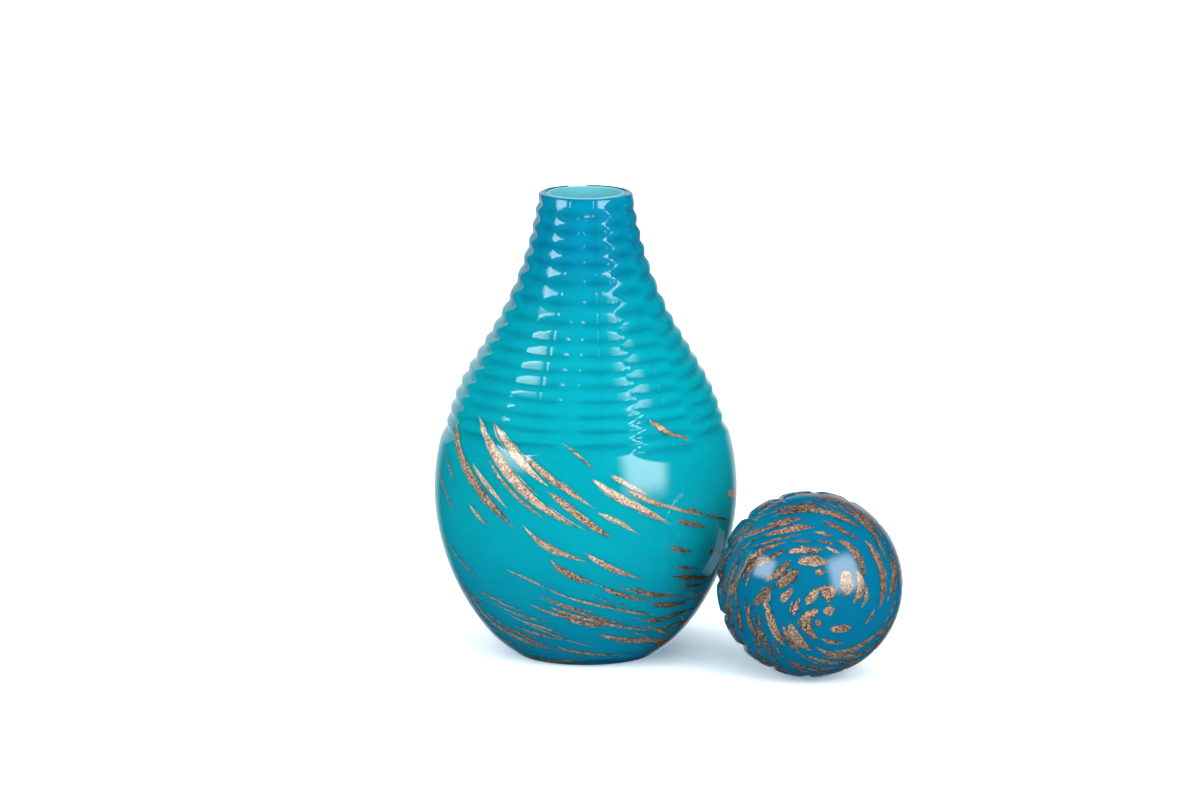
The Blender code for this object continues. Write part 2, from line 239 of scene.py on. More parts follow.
# Wheel cuts on the shoulder. For each column: how far its rows lie below the first column's, as
# a share of a row, how far its cuts reach at the seam after it, and how deep they are.
COLUMNS = 12
COLUMN = math.tau / COLUMNS
SEAM_TURN = math.radians(-68.5)
CUT_TOP_BAND = 0.0010
CUT_ZONE_HEIGHT = 0.1245
ROW_HEIGHT_SHARES = (
    (1.00, 1.01, 1.02, 1.04, 1.16, 1.26, 1.19, 1.02)
    + (0.90, 0.91, 0.90, 0.91, 0.93, 0.93, 0.91, 0.89)
)
ROWS = len(ROW_HEIGHT_SHARES)
ROW_DROP_SHARES = (0.0, 0.45, 0.45, 0.0, 0.50, 0.05, 0.50, 0.0, 0.0, 0.40, 0.45, 0.45)
SEAM_REACH_SHARES = (1.20, 1.45, 1.20, 1.20, 1.20, 1.20, 1.20, 1.45, 1.20, 1.10, 0.80, 1.20)
COLUMN_DEPTH_SHARES = (1.0, 1.0, 1.0, 1.0, 0.9, 1.0, 0.9, 1.0, 1.0, 0.88, 0.84, 0.94)
ROW_LOST_SHARE = 0.2
LENS_FULLNESS = 0.6
CHORD_SHARE = 0.85
LEAST_CUT_DEPTH = 0.00138
FLANK_RISE = 0.34
NO_CUT = -1.0
RIDGE_ROUNDING = 0.00005
VALLEY_SHADE_WIDTH = 0.0021
LEAST_SHADE_WIDTH = 0.000001
SHADE_LENGTH_SHARE = 0.84
SHADE_FULLNESS = 1.3
SPINE_DEPTH = 0.00010
SPINE_HALF_WIDTH = 0.0011
SPINE_TIP_DROP = 0.0042
NECK_TWIST = math.radians(4.0)
TWIST_FROM = 0.115
TWIST_TO = 0.205

row_heights = np.cumsum((0.0, *ROW_HEIGHT_SHARES)) / sum(ROW_HEIGHT_SHARES) * CUT_ZONE_HEIGHT
row_bounds = BOTTLE_HEIGHT - CUT_TOP_BAND - row_heights
last_row = row_bounds[-2] - row_bounds[-1]
row_bounds = np.append(row_bounds, row_bounds[-1] - last_row * np.array((1.0, 2.0)))
row_numbers = np.arange(len(row_bounds))


def outline(height):
    """Radius and slope of the outside: one cubic between each two stations, with even slopes."""
    i = np.clip(np.searchsorted(station_heights, height) - 1, 0, len(station_heights) - 2)
    span = station_heights[i + 1] - station_heights[i]
    t = (height - station_heights[i]) / span
    rise = station_radii[i + 1] - station_radii[i]
    a = station_slopes[i] * span - rise
    b = rise - station_slopes[i + 1] * span
    radius = station_radii[i] + t * rise + t * (1 - t) * (a * (1 - t) + b * t)
    slope = (rise + (1 - 2 * t) * (a * (1 - t) + b * t) + t * (1 - t) * (b - a)) / span
    return radius, slope


def layer(height, depth):
    """Radius and height of the point that lies straight under the outside by a depth."""
    radius, slope = outline(height)
    length = np.hypot(1, slope)
    return radius - depth / length, height + depth * slope / length


def row_height(row):
    """Height of a row number, counted downwards from the lip, part rows included."""
    return np.interp(row, row_numbers, row_bounds)


def column_of(azimuth):
    """Number of the column at an azimuth, and the place in it from -1 to 1, seam to seam."""
    turns = ((azimuth - SEAM_TURN) / COLUMN) % COLUMNS
    column = np.minimum(turns.astype(int), COLUMNS - 1)
    return column, 2 * (turns - column) - 1


def trough_depth(middle):
    """Valley depth of a trough at a height: the column's chord, with a least depth added in."""
    radius, slope = outline(middle)
    chord = radius * (1 - math.cos(CHORD_SHARE * COLUMN / 2)) / np.hypot(1, slope)
    return np.hypot(chord, LEAST_CUT_DEPTH)


def mitre_cut(height, azimuth, column, step):
    """Valley depth of one mitre cut, and the way along the wall from its valley line.

    It is the cut that lies a number of rows from the row at that height. The round wheel leaves a
    valley that is deepest in the column's middle. Its depth falls to nothing at the two tips, by a
    power of one less the square of the way aside. Each tip reaches up to its seam or past it.
    """
    drop = np.array(ROW_DROP_SHARES)[column]
    aside = azimuth - SEAM_TURN - (column + 0.5) * COLUMN
    aside = (aside + math.pi) % math.tau - math.pi
    number = np.floor(np.interp(-height, -row_bounds, row_numbers) - drop) + step
    rows_here = np.where(drop > ROW_LOST_SHARE, ROWS - 1, ROWS)
    middle = row_height(number + 0.5 + drop)
    along = np.abs(height - middle) * np.hypot(1, outline(middle)[1])
    reach = np.array(SEAM_REACH_SHARES)[np.where(aside > 0, column, column - 1)]
    share = 1 - (aside / (reach * COLUMN / 2)) ** 2
    full = trough_depth(middle) * np.array(COLUMN_DEPTH_SHARES)[column]
    valley = full * np.clip(share, 0, 1) ** LENS_FULLNESS
    real = (number >= 0) & (number < rows_here) & (share > 0)
    return np.where(real, valley, NO_CUT), along


def lens_depth(height, azimuth):
    """Depth of all the cuts: a soft maximum of the nearest three of this column and the next two.

    From its valley each cut's flanks rise evenly, by the angle of the wheel's edge. The soft
    maximum is the logarithm of the sum of exponentials, in steps of the rounding that polishing
    leaves on the ridges. The uncut wall counts as a depth of 0.
    """
    column = column_of(azimuth)[0]
    total = 1.0
    for aside in (-1, 0, 1):
        for step in (-1, 0, 1):
            valley, along = mitre_cut(height, azimuth, (column + aside) % COLUMNS, step)
            total = total + np.exp((valley - FLANK_RISE * along) / RIDGE_ROUNDING)
    return RIDGE_ROUNDING * np.log(total)


def valley_shade(height, azimuth):
    """How much painted shade darkens the glass over a valley or spine, for the light that its flanks bend
    away.

    It is 1 close to the line and falls evenly to 0 at a width. The width is one less the square of
    the place in the column, so that it narrows to nothing short of the seams.
    """
    column, place = column_of(azimuth)
    valley, along = mitre_cut(height, azimuth, column, 0)
    width = VALLEY_SHADE_WIDTH * np.clip(1 - (place / SHADE_LENGTH_SHARE) ** 2, 0, 1)
    shade = np.clip(SHADE_FULLNESS * (1 - along / np.maximum(width, LEAST_SHADE_WIDTH)), 0, 1)
    return np.maximum(np.where(valley > 0, shade, 0), spine_depth(height, azimuth) / SPINE_DEPTH)


def spine_depth(height, azimuth):
    """Depth of the fine groove down a column's middle: a narrow vee that fades out at its foot."""
    aside = np.abs(column_of(azimuth)[1]) * COLUMN / 2 * outline(height)[0]
    foot = row_bounds[ROWS]
    fade = np.clip((height - foot + SPINE_TIP_DROP) / (SPINE_TIP_DROP + last_row / 2), 0, 1)
    return SPINE_DEPTH * fade * np.clip(1 - aside / SPINE_HALF_WIDTH, 0, 1)


def neck_turn(height):
    """Angle by which the hand-cut columns lean round the bottle. It grows evenly up the shoulder."""
    return NECK_TWIST * np.clip((height - TWIST_FROM) / (TWIST_TO - TWIST_FROM), 0, 1)


def column_steps(half_shares):
    """Places across a column: its middle, the shares of the way to each side, and the next seam."""
    half_steps = np.array(half_shares)
    return np.concatenate((-half_steps[::-1], (0.0,), half_steps, (1.0,)))


def column_turns(steps, columns):
    """The same places in every column, counted in columns round the glass from the first seam."""
    return (np.arange(columns)[:, None] + (steps[None, :] + 1) / 2).ravel()


def smooth_step(share):
    """A rise from 0 to 1 that starts and ends level: thrice the square less twice the cube."""
    share = np.clip(share, 0, 1)
    return share * share * (3 - 2 * share)


def quarter_round(radius, level, inward, upward):
    """Radii and levels of a rounded corner, from the flat at a level out to the wall at a radius.

    Over a quarter turn, the way in from the wall is one less the sine, and the way up from the
    flat one less the cosine, each times its own rounding. A negative rounding goes out or down.
    """
    return np.stack((radius - inward * (1 - np.sin(bends)), level + upward * (1 - np.cos(bends))))


def turned_mesh(name, rings, smooth_angle=None):
    """A closed surface through rings of points. Its first and last ring are single pole points."""
    count, around = rings.shape[:2]
    points = np.concatenate((rings[0, :1], rings[1:-1].reshape(-1, 3), rings[-1, :1]))
    grid = 1 + np.arange((count - 2) * around).reshape(count - 2, around)
    ahead = np.roll(grid, -1, axis=1)
    quads = np.stack((grid[:-1], ahead[:-1], ahead[1:], grid[1:]), axis=-1).reshape(-1, 4)
    start = np.stack((np.zeros(around, int), ahead[0], grid[0]), axis=-1)
    end = np.stack((grid[-1], ahead[-1], np.full(around, len(points) - 1)), axis=-1)
    return face_mesh(name, points, quads, np.concatenate((start, end)), smooth_angle)


def face_mesh(name, points, quads, triangles, smooth_angle=None):
    """A smooth-shaded mesh from arrays of points, four-cornered and three-cornered faces."""
    mesh = bpy.data.meshes.new(name)
    mesh.vertices.add(len(points))
    mesh.vertices.foreach_set("co", np.asarray(points, np.float32).ravel())
    corners = np.concatenate((quads.ravel(), triangles.ravel()))
    sizes = np.concatenate((np.full(len(quads), 4), np.full(len(triangles), 3)))
    mesh.loops.add(len(corners))
    mesh.loops.foreach_set("vertex_index", corners.astype(np.int32))
    mesh.polygons.add(len(sizes))
    mesh.polygons.foreach_set("loop_start", (np.cumsum(sizes) - sizes).astype(np.int32))
    mesh.update(calc_edges=True)
    mesh.validate()
    mesh.shade_smooth()
    if smooth_angle is not None:
        mesh.set_sharp_from_angle(angle=smooth_angle)
    return mesh


def mark(mesh, name, values):
    """Gives a mesh an attribute with one number for each point."""
    mesh.attributes.new(name, "FLOAT", "POINT").data.foreach_set("value", values)


def round_points(radius, height, azimuth):
    """Points in space from radius, height and azimuth."""
    radius, height, azimuth = np.broadcast_arrays(radius, height, azimuth)
    return np.stack((radius * np.cos(azimuth), radius * np.sin(azimuth), height), axis=-1)


def piece(name, mesh, material, body, nodes):
    """An object at the origin that shows a mesh, rides on a body and stands for CAD nodes."""
    obj = bpy.data.objects.new(name, mesh)
    bpy.context.scene.collection.objects.link(obj)
    mesh.materials.append(material)
    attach(obj, body)
    if nodes:
        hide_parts(*nodes)


SPINE_STEP_SHARES = (0.03, 0.06, 0.10)
LENS_STEP_SHARES = (0.17, 0.25, 0.33, 0.41, 0.49, 0.57, 0.65, 0.72, 0.78, 0.84, 0.92)
RINGS_PER_ROW = 12
BODY_RINGS = 24
INNER_RINGS = 14
FOOT_RING_SHARES = (0.0, 0.4, 0.8)
CORNER_POINTS = 9
SEAM_BLEND_FROM = 0.72
LAST_ROWS_BLEND = 1.5
CUT_EDGE = math.radians(13)

steps = column_steps(SPINE_STEP_SHARES + LENS_STEP_SHARES)
azimuths = SEAM_TURN + COLUMN * column_turns(steps, COLUMNS)

# Each ring steps down from column to column with the rows, and blends at the seams
drops = np.array(ROW_DROP_SHARES)
seam_drop = (drops + np.roll(drops, -1)) / 2
here = np.repeat(np.arange(COLUMNS), len(steps))
place = np.tile(steps, COLUMNS)
to_seam = smooth_step((np.abs(place) - SEAM_BLEND_FROM) / (1 - SEAM_BLEND_FROM))
seam = np.where(place > 0, seam_drop[here], np.roll(seam_drop, 1)[here])
ring_drop = drops[here] * (1 - to_seam) + seam * to_seam

cut_rows = np.arange(0, (ROWS + 1) * RINGS_PER_ROW + 1) / RINGS_PER_ROW
dropped = smooth_step(np.minimum(cut_rows, (ROWS + 1 - cut_rows) / LAST_ROWS_BLEND))
cut_heights = row_height(cut_rows[:, None] + dropped[:, None] * ring_drop[None, :])

body_top = row_height(ROWS + 1.0)
body_heights = np.linspace(body_top, FOOT_ROUNDING, BODY_RINGS + 1)[1:, None] + 0 * azimuths
wall_heights = np.concatenate((cut_heights, body_heights))[::-1]
cut = lens_depth(wall_heights, azimuths) + spine_depth(wall_heights, azimuths)
wall_radii, wall_levels = layer(wall_heights, cut)

bends = np.linspace(0, math.pi / 2, CORNER_POINTS)
foot_corner = quarter_round(FOOT_RADIUS, 0.0, FOOT_ROUNDING, FOOT_ROUNDING)[:, :-1]
top_rim = wall_radii[-1]
top_level = wall_levels[-1]
lip_radii = top_rim[None, :] - LIP_ROUNDING * (1 - np.cos(bends[1:, None]))
lip_levels = top_level[None, :] + (BOTTLE_HEIGHT - top_level[None, :]) * np.sin(bends[1:, None])

hidden_depth = CASING_WALL + FUSED_OVERLAP
inner_floor = BASE_THICKNESS + FUSED_OVERLAP
inner_top = BOTTLE_HEIGHT - MOUTH_EDGE_DROP
inner_heights = np.linspace(inner_top, inner_floor + LINING_FLOOR_CORNER, INNER_RINGS)
inner_radii = outline(inner_heights)[0] - hidden_depth * np.hypot(1, outline(inner_heights)[1])
inner_corner = quarter_round(inner_radii[-1], inner_floor, LINING_FLOOR_CORNER, LINING_FLOOR_CORNER)

lip_azimuths = azimuths + NECK_TWIST
rings = [round_points(share * FOOT_RADIUS, 0.0, azimuths) for share in FOOT_RING_SHARES]
rings += [round_points(r, z, azimuths) for r, z in foot_corner.T]
first_cut = 1 + (len(rings) - 1) * len(azimuths)
rings += [round_points(r, z, azimuths + neck_turn(z)) for r, z in zip(wall_radii, wall_levels)]
rings += [round_points(r, z, lip_azimuths) for r, z in zip(lip_radii, lip_levels)]
rings += [round_points(r, z, lip_azimuths) for r, z in zip(inner_radii, inner_heights)]
rings += [round_points(r, z, lip_azimuths) for r, z in inner_corner.T[-2::-1]]
rings += [round_points(0.0, inner_floor, azimuths)]
casing_mesh = turned_mesh("clear_casing", np.array(rings), CUT_EDGE)
# Share of painted shade over the valleys and spine grooves, kept as the mesh's valley number
shade = valley_shade(wall_heights, azimuths)
shades = np.zeros(len(casing_mesh.vertices), np.float32)
shades[first_cut:first_cut + shade.size] = shade.ravel()
mark(casing_mesh, "valley", shades)

# The valley colour is painted shade: glass over cut valleys and spine grooves is darkened for the light
# their flanks bend away
CLEAR_GLASS = (0.90, 0.975, 0.99)
PAINTED_VALLEY_SHADE = (0.70, 0.83, 0.86)
GLASS_IOR = 1.50
CASING_ROUGHNESS = 0.03
WAVES_PER_METRE = 55.0
WAVE_DETAIL = 2.0
WAVE_STRENGTH = 0.10
WAVE_HEIGHT = 0.001


def clear_glass(name, color, roughness, painted_shade_color=None):
    """Polished clear glass with the faint waviness that hand work leaves on it.

    Cut glass is painted darker along its valleys, as painted shade, by the mesh's own valley number.
    """
    material, tree, shader = new_finish(name)
    place = shader_node(tree, "TexCoord", {})["Object"]
    wave = shader_node(tree, "TexNoise", {
        "Vector": place, "Scale": WAVES_PER_METRE, "Detail": WAVE_DETAIL,
    })["Fac"]
    bump = {"Height": wave, "Strength": WAVE_STRENGTH, "Distance": WAVE_HEIGHT}
    glass_color = (*color, 1.0)
    if painted_shade_color:
        valley = shader_node(tree, "Attribute", {}, attribute_name="valley")["Fac"]
        glass_color = mixed_color(tree, valley, glass_color, (*painted_shade_color, 1.0))
    feed(tree, shader, {
        "Base Color": glass_color,
        "Transmission Weight": 1.0,
        "IOR": GLASS_IOR,
        "Roughness": roughness,
        "Normal": shader_node(tree, "Bump", bump)["Normal"],
    })
    return material


casing_glass = clear_glass("polished clear casing glass", CLEAR_GLASS, CASING_ROUGHNESS, PAINTED_VALLEY_SHADE)
piece("clear_casing", casing_mesh, casing_glass, "bottle", ["bottle_casing"])


# Opal lining of the bottle
# The inner gather of opaque turquoise glass. It gives the bottle its colour through the clear
# casing, thins towards the lip, and is ground to a straight bore that takes the stopper's peg.
BORE_RADIUS = 0.0183
BORE_DEPTH = 0.0125
BORE_LEAD = 0.006
LINING_WALL = 0.0020
LINING_FLOOR = 0.0030
LINING_LIP_ROUNDING = 0.0007
LINING_STEPS = 192
LINING_OUTER_RINGS = 90
LINING_INNER_RINGS = 60
OPAL_BODY = (0.0, 0.40, 0.48)
OPAL_NECK = (0.0, 0.27, 0.42)
OPAL_LOW = (0.0, 0.24, 0.38)
OPAL_INSIDE = (0.13, 0.47, 0.54)
OPAL_RIM = (0.17, 0.37, 0.43)
OPAL_ROUGHNESS = 0.30
OPAL_IOR = 1.08
CLOUDS_PER_METRE = 22.0
CLOUD_DETAIL = 3.0
CLOUD_DRIFT = 0.030

outer_bottom = BASE_THICKNESS + LINING_FLOOR_CORNER
outer_top = BOTTLE_HEIGHT - LINING_LIP_ROUNDING
outer_heights = np.linspace(outer_bottom, outer_top, LINING_OUTER_RINGS)
outer_radii = outline(outer_heights)[0] - CASING_WALL * np.hypot(1, outline(outer_heights)[1])
outer_corner = quarter_round(outer_radii[0], BASE_THICKNESS, LINING_FLOOR_CORNER, LINING_FLOOR_CORNER)
rim_round = quarter_round(outer_radii[-1], BOTTLE_HEIGHT, LINING_LIP_ROUNDING, -LINING_LIP_ROUNDING)
bore_round = quarter_round(BORE_RADIUS, BOTTLE_HEIGHT, -LINING_LIP_ROUNDING, -LINING_LIP_ROUNDING)
below_bore = BOTTLE_HEIGHT - BORE_DEPTH - BORE_LEAD
inside_floor = BASE_THICKNESS + LINING_FLOOR
inside_heights = np.linspace(below_bore, inside_floor + LINING_FLOOR_CORNER, LINING_INNER_RINGS)
inside_slopes = outline(inside_heights)[1]
inside_radii = outline(inside_heights)[0] - (CASING_WALL + LINING_WALL) * np.hypot(1, inside_slopes)
inside_corner = quarter_round(inside_radii[-1], inside_floor, LINING_FLOOR_CORNER, LINING_FLOOR_CORNER)
lining_profile = np.concatenate((
    ((0.0,), (BASE_THICKNESS,)),
    outer_corner[:, :-1],
    (outer_radii, outer_heights),
    rim_round[:, -2::-1],
    bore_round,
    ((BORE_RADIUS,), (BOTTLE_HEIGHT - BORE_DEPTH,)),
    (inside_radii, inside_heights),
    inside_corner[:, -2::-1],
    ((0.0,), (inside_floor,)),
), axis=1)[..., None]
lining_azimuths = np.linspace(0, math.tau, LINING_STEPS, endpoint=False)
lining_mesh = turned_mesh("opal_lining", round_points(*lining_profile, lining_azimuths))

# The rim ends where the second rounding has nearly turned down into the bore
first_rim = 1 + (CORNER_POINTS - 1 + LINING_OUTER_RINGS) * LINING_STEPS
past_rim = first_rim + (2 * CORNER_POINTS - 4) * LINING_STEPS
inside = np.ones(len(lining_mesh.vertices), np.float32)
inside[:first_rim] = 0.0
rim = np.zeros(len(lining_mesh.vertices), np.float32)
rim[first_rim:past_rim] = 1.0
mark(lining_mesh, "inside", inside)
mark(lining_mesh, "rim", rim)


def color_ramp(tree, share, stops, interpolation="LINEAR"):
    """A colour that follows a share from 0 to 1, by stops of (share, colour)."""
    node = tree.nodes.new("ShaderNodeValToRGB")
    node.color_ramp.interpolation = interpolation
    while len(node.color_ramp.elements) < len(stops):
        node.color_ramp.elements.new(0.5)
    for element, (stop, color) in zip(node.color_ramp.elements, stops):
        element.position = stop
        element.color = (*color, 1.0)
    feed(tree, node, {"Fac": share})
    return node.outputs["Color"]


def opal_glass(name, levels, **places):
    """Opaque glass whose colour drifts with height, by a ramp of (share of height, colour).

    A cloudy noise raises or lowers the height a little. Each named place is an attribute of the
    mesh, and the glass has another colour there.
    """
    material, tree, shader = new_finish(name)
    place = shader_node(tree, "TexCoord", {})["Object"]
    height = shader_node(tree, "SeparateXYZ", {0: place})["Z"]
    cloud = shader_node(tree, "TexNoise", {
        "Vector": place, "Scale": CLOUDS_PER_METRE, "Detail": CLOUD_DETAIL,
    })["Fac"]
    drift = shader_node(tree, "Math", {0: cloud, 1: CLOUD_DRIFT, 2: height}, operation="MULTIPLY_ADD")[0]
    share = shader_node(tree, "MapRange", {
        "Value": drift, "From Min": CLOUD_DRIFT / 2, "From Max": BOTTLE_HEIGHT + CLOUD_DRIFT / 2,
    })["Result"]
    color = color_ramp(tree, share, levels, "EASE")
    for attribute, place_color in places.items():
        here = shader_node(tree, "Attribute", {}, attribute_name=attribute)["Fac"]
        color = mixed_color(tree, here, color, (*place_color, 1.0))
    feed(tree, shader, {"Base Color": color, "Roughness": OPAL_ROUGHNESS, "IOR": OPAL_IOR})
    return material


# The lining is painted darker towards the foot, as painted shade where less light reaches the low body, and
# darker again at the neck
lining_colors = ((0.0, OPAL_LOW), (0.36, OPAL_BODY), (0.66, OPAL_BODY), (0.92, OPAL_NECK))
lining_glass = opal_glass(
    "opaque turquoise lining glass", lining_colors, inside=OPAL_INSIDE, rim=OPAL_RIM,
)
piece("opal_lining", lining_mesh, lining_glass, "bottle", ["bottle_lining"])


# Bronze strokes in the bottle
# Chips of copper-glitter glass, picked up on the hot lining and drawn out into leaf shapes as
# the gather was twisted. The clear casing covers them, so they float just over the lining.
STROKE_HOVER = 0.0007
STROKE_THICKNESS = 0.00016
STROKE_ALONG = 30
STROKE_AROUND = 12
STROKE_SKEWS = (0.75, 1.15)
ROUND_FULLNESS = 0.45
LONG_FULLNESS = 0.95
LONG_ASPECT = 9.0
TONE_FALL = 0.26
NORMAL_PROBE = 0.001

# Waves along a stroke's edge: radians from end to end, and share of the whole raggedness
STROKE_RAGGED_SHARE = 0.07
RAGGED_WAVES = ((7.0, 1.0), (17.0, 0.6), (41.0, 0.3))

# Slivers that came off a stroke, in shares of its length and breadth
SLIVER_ALONG = 9
SLIVER_AROUND = 6
SLIVER_LENGTH_SHARES = (0.22, 0.55)
SLIVER_OVERSHOOT_SHARE = 0.10
SLIVER_EDGE_SHARE = 0.46
SLIVER_GAP_SHARES = (0.04, 0.22)
SLIVER_BREADTH_SHARES = (0.03, 0.12)
SLIVER_LEAST_BREADTH = 0.0003
SLIVER_TONE_SHIFTS = (-0.15, 0.10)
FRONT_SLIVERS = 4
BACK_SLIVERS = 3
LOW_STREAK_SLIVERS = 1

# Photograph pixels, read off: upper end, a point in the middle, lower end, and widest
# breadth. The last number is the chip's tone, from 0 for dark to 1 for pale.
# The tones are read off how bright each chip looks, so besides the chips' own tone they hold painted light
# and painted shade: chips beside the ball, in its shadow, are dark
FRONT_STROKE_PIXELS = (
    (455, 418, 466, 469, 515, 527, 13.5, 0.50), (473, 463, 487, 485, 508, 509, 6.5, 0.85),
    (478, 415, 509, 475, 574, 526, 15.5, 0.80), (493, 421, 515, 455, 549, 487, 12.5, 1.00),
    (525, 455, 557, 483, 596, 509, 9.0, 0.60), (547, 491, 576, 514, 612, 538, 11.5, 0.50),
    (598, 513, 614, 520, 636, 532, 6.0, 0.90), (489, 459, 509, 489, 545, 519, 4.0, 0.60),
    (469, 503, 477, 515, 489, 526, 4.5, 0.65), (523, 525, 549, 548, 590, 562, 8.0, 0.55),
    (585, 553, 608, 566, 643, 580, 8.0, 0.55), (550, 559, 568, 574, 600, 585, 8.5, 0.35),
    (600, 585, 620, 595, 649, 601, 6.0, 0.30), (506, 569, 529, 580, 562, 594, 2.6, 0.55),
    (592, 479, 624, 500, 669, 522, 11.5, 0.85), (611, 475, 628, 485, 647, 495, 7.0, 0.95),
    (628, 491, 657, 503, 701, 515, 6.0, 0.65), (562, 443, 580, 457, 594, 469, 2.6, 0.45),
    (649, 418, 663, 429, 690, 440, 7.5, 0.65), (676, 521, 691, 524, 707, 528, 6.5, 0.25),
    (685, 509, 695, 511, 704, 515, 4.0, 0.30), (704, 515, 715, 517, 727, 519, 4.0, 0.10),
    (669, 547, 680, 550, 693, 551, 5.5, 0.28), (675, 567, 685, 568, 698, 569, 4.5, 0.12),
    (671, 576, 691, 578, 711, 576, 7.5, 0.00), (709, 551, 716, 551, 723, 551, 5.0, 0.00),
    (632, 586, 649, 593, 676, 595, 4.0, 0.22), (649, 603, 667, 605, 689, 602, 6.0, 0.15),
    (551, 608, 588, 620, 653, 631, 5.5, 0.42), (557, 614, 584, 624, 606, 626, 5.0, 0.38),
    (516, 619, 541, 627, 564, 634, 2.6, 0.50), (600, 635, 628, 640, 677, 641, 7.0, 0.42),
    (644, 621, 669, 617, 695, 607, 6.0, 0.15), (663, 627, 681, 623, 693, 617, 6.0, 0.15),
    (556, 646, 588, 654, 638, 653, 4.0, 0.35), (444, 536, 460, 560, 481, 581, 3.0, 0.40),
    (462, 580, 489, 619, 549, 649, 6.5, 0.45), (479, 606, 509, 628, 541, 639, 3.0, 0.35),
    (517, 652, 553, 661, 608, 657, 4.0, 0.35), (445, 449, 450, 469, 454, 483, 3.0, 0.40),
    (439, 469, 446, 493, 454, 514, 4.0, 0.45), (728, 493, 732, 494, 738, 495, 11.0, 0.55),
    (676, 585, 692, 586, 706, 584, 3.0, 0.05), (652, 645, 670, 640, 690, 628, 6.5, 0.22),
)
METRES_PER_PIXEL = 0.000511
BREADTH_SHARE = 0.66

# How far from the camera the bottle's outside can lie, and how far under it the strokes
CAMERA_TO_GLASS = (3.30, 3.62)
GLASS_TO_STROKE = (0.0, 0.03)
RAY_SAMPLES = 700
END_MARGIN = 0.001
SEAT_MARGIN = 0.0005

# Strokes on the sides that the photograph doesn't show, and fine streaks low all round, both
# drawn by a seeded hand and leaning the same way. Each pair holds the least and the most.
BACK_SEED = 7
BACK_STROKES = 58
BACK_FROM = math.radians(12)
BACK_TO = math.radians(168)
BACK_PLACES = (0.1, 0.9)
BACK_HEIGHTS = (0.022, 0.034, 0.05, 0.068, 0.086, 0.10, 0.112)
BACK_HEIGHT_SHIFTS = (-0.006, 0.006)
BACK_LENGTHS = (0.012, 0.055)
BACK_LEANS = (0.25, 0.75)
BACK_BREADTHS = (0.002, 0.0065)
BACK_TONES = (0.25, 0.85)
FULL_BREADTH_LENGTH = 0.02
LOW_STREAKS = 72
LOW_HEIGHTS = (0.012, 0.044)
LOW_LENGTHS = (0.016, 0.050)
LOW_LEANS = (0.10, 0.40)
LOW_BREADTHS = (0.0004, 0.0014)
LOW_TONES = (0.25, 0.50)
CHIP_SAG = 0.006
LOWEST_CHIP = 0.010


def pixel_rays(pixels):
    """Directions out of the camera through points of the photograph."""
    pixels = np.asarray(pixels, float)
    ahead = np.array((0.0, math.cos(CAMERA_PITCH), -math.sin(CAMERA_PITCH)))
    up = np.array((0.0, math.sin(CAMERA_PITCH), math.cos(CAMERA_PITCH)))
    right = np.array((1.0, 0.0, 0.0))
    across = (pixels[:, 0] - PHOTO_SIZE[0] / 2) / FOCAL_PIXELS
    down = (pixels[:, 1] - PHOTO_SIZE[1] / 2) / FOCAL_PIXELS
    rays = ahead + across[:, None] * right - down[:, None] * up
    return rays / np.linalg.norm(rays, axis=1, keepdims=True)


def first_hit(origins, rays, depth, nearest, farthest):
    """Where each ray first comes within a radius that is the outside's less a depth.

    The distance along the ray is sampled evenly, and the crossing is found between two samples.
    """
    samples = np.linspace(nearest, farthest, RAY_SAMPLES)
    points = origins[:, None, :] + samples[None, :, None] * rays[:, None, :]
    heights = np.clip(points[..., 2], END_MARGIN, BOTTLE_HEIGHT - END_MARGIN)
    radius, slope = outline(heights)
    excess = np.hypot(points[..., 0], points[..., 1]) - radius + depth * np.hypot(1, slope)
    first = np.argmax(excess < 0, axis=1)
    missed = ~(excess < 0).any(axis=1)
    first = np.where(missed, np.argmin(excess, axis=1), np.maximum(first, 1))
    rows = np.arange(len(rays))
    before, after = excess[rows, first - 1], excess[rows, first]
    part = np.where(missed, 1.0, before / np.where(before == after, 1.0, before - after))
    reach = samples[first - 1] + part * (samples[first] - samples[first - 1])
    return origins + reach[:, None] * rays


def outward(points):
    """Normals of the bottle's outside at points near it."""
    slope = outline(np.clip(points[:, 2], END_MARGIN, BOTTLE_HEIGHT - END_MARGIN))[1]
    away = np.hypot(points[:, 0], points[:, 1])
    normals = np.stack((points[:, 0] / away, points[:, 1] / away, -slope), axis=-1)
    return normals / np.linalg.norm(normals, axis=1, keepdims=True)


def refracted(rays, normals, ior):
    """Rays bent into glass: the part along the surface shrinks by the ratio of the indices."""
    facing = (rays * normals).sum(axis=1, keepdims=True)
    aside = (rays - facing * normals) / ior
    inward = np.sqrt(np.maximum(1 - (aside ** 2).sum(axis=1, keepdims=True), 0.0))
    return aside - inward * normals


def seen_in_bottle(pixels):
    """Points over the lining that show at these pixels, with the casing's bending counted in."""
    rays = pixel_rays(pixels)
    origins = np.repeat(CAMERA_PLACE[None, :], len(rays), axis=0)
    entry = first_hit(origins, rays, 0.0, *CAMERA_TO_GLASS)
    inside_rays = refracted(rays, outward(entry), GLASS_IOR)
    return first_hit(entry, inside_rays, CASING_WALL - STROKE_HOVER, *GLASS_TO_STROKE)


def on_layer(points, depth):
    """The same azimuths and heights, moved to the surface at that depth under the outside."""
    radius, slope = outline(np.clip(points[..., 2], SEAT_MARGIN, BOTTLE_HEIGHT - SEAT_MARGIN))
    wanted = radius - depth * np.hypot(1, slope)
    away = np.hypot(points[..., 0], points[..., 1])
    return points * np.stack((wanted / away, wanted / away, np.ones_like(away)), axis=-1)


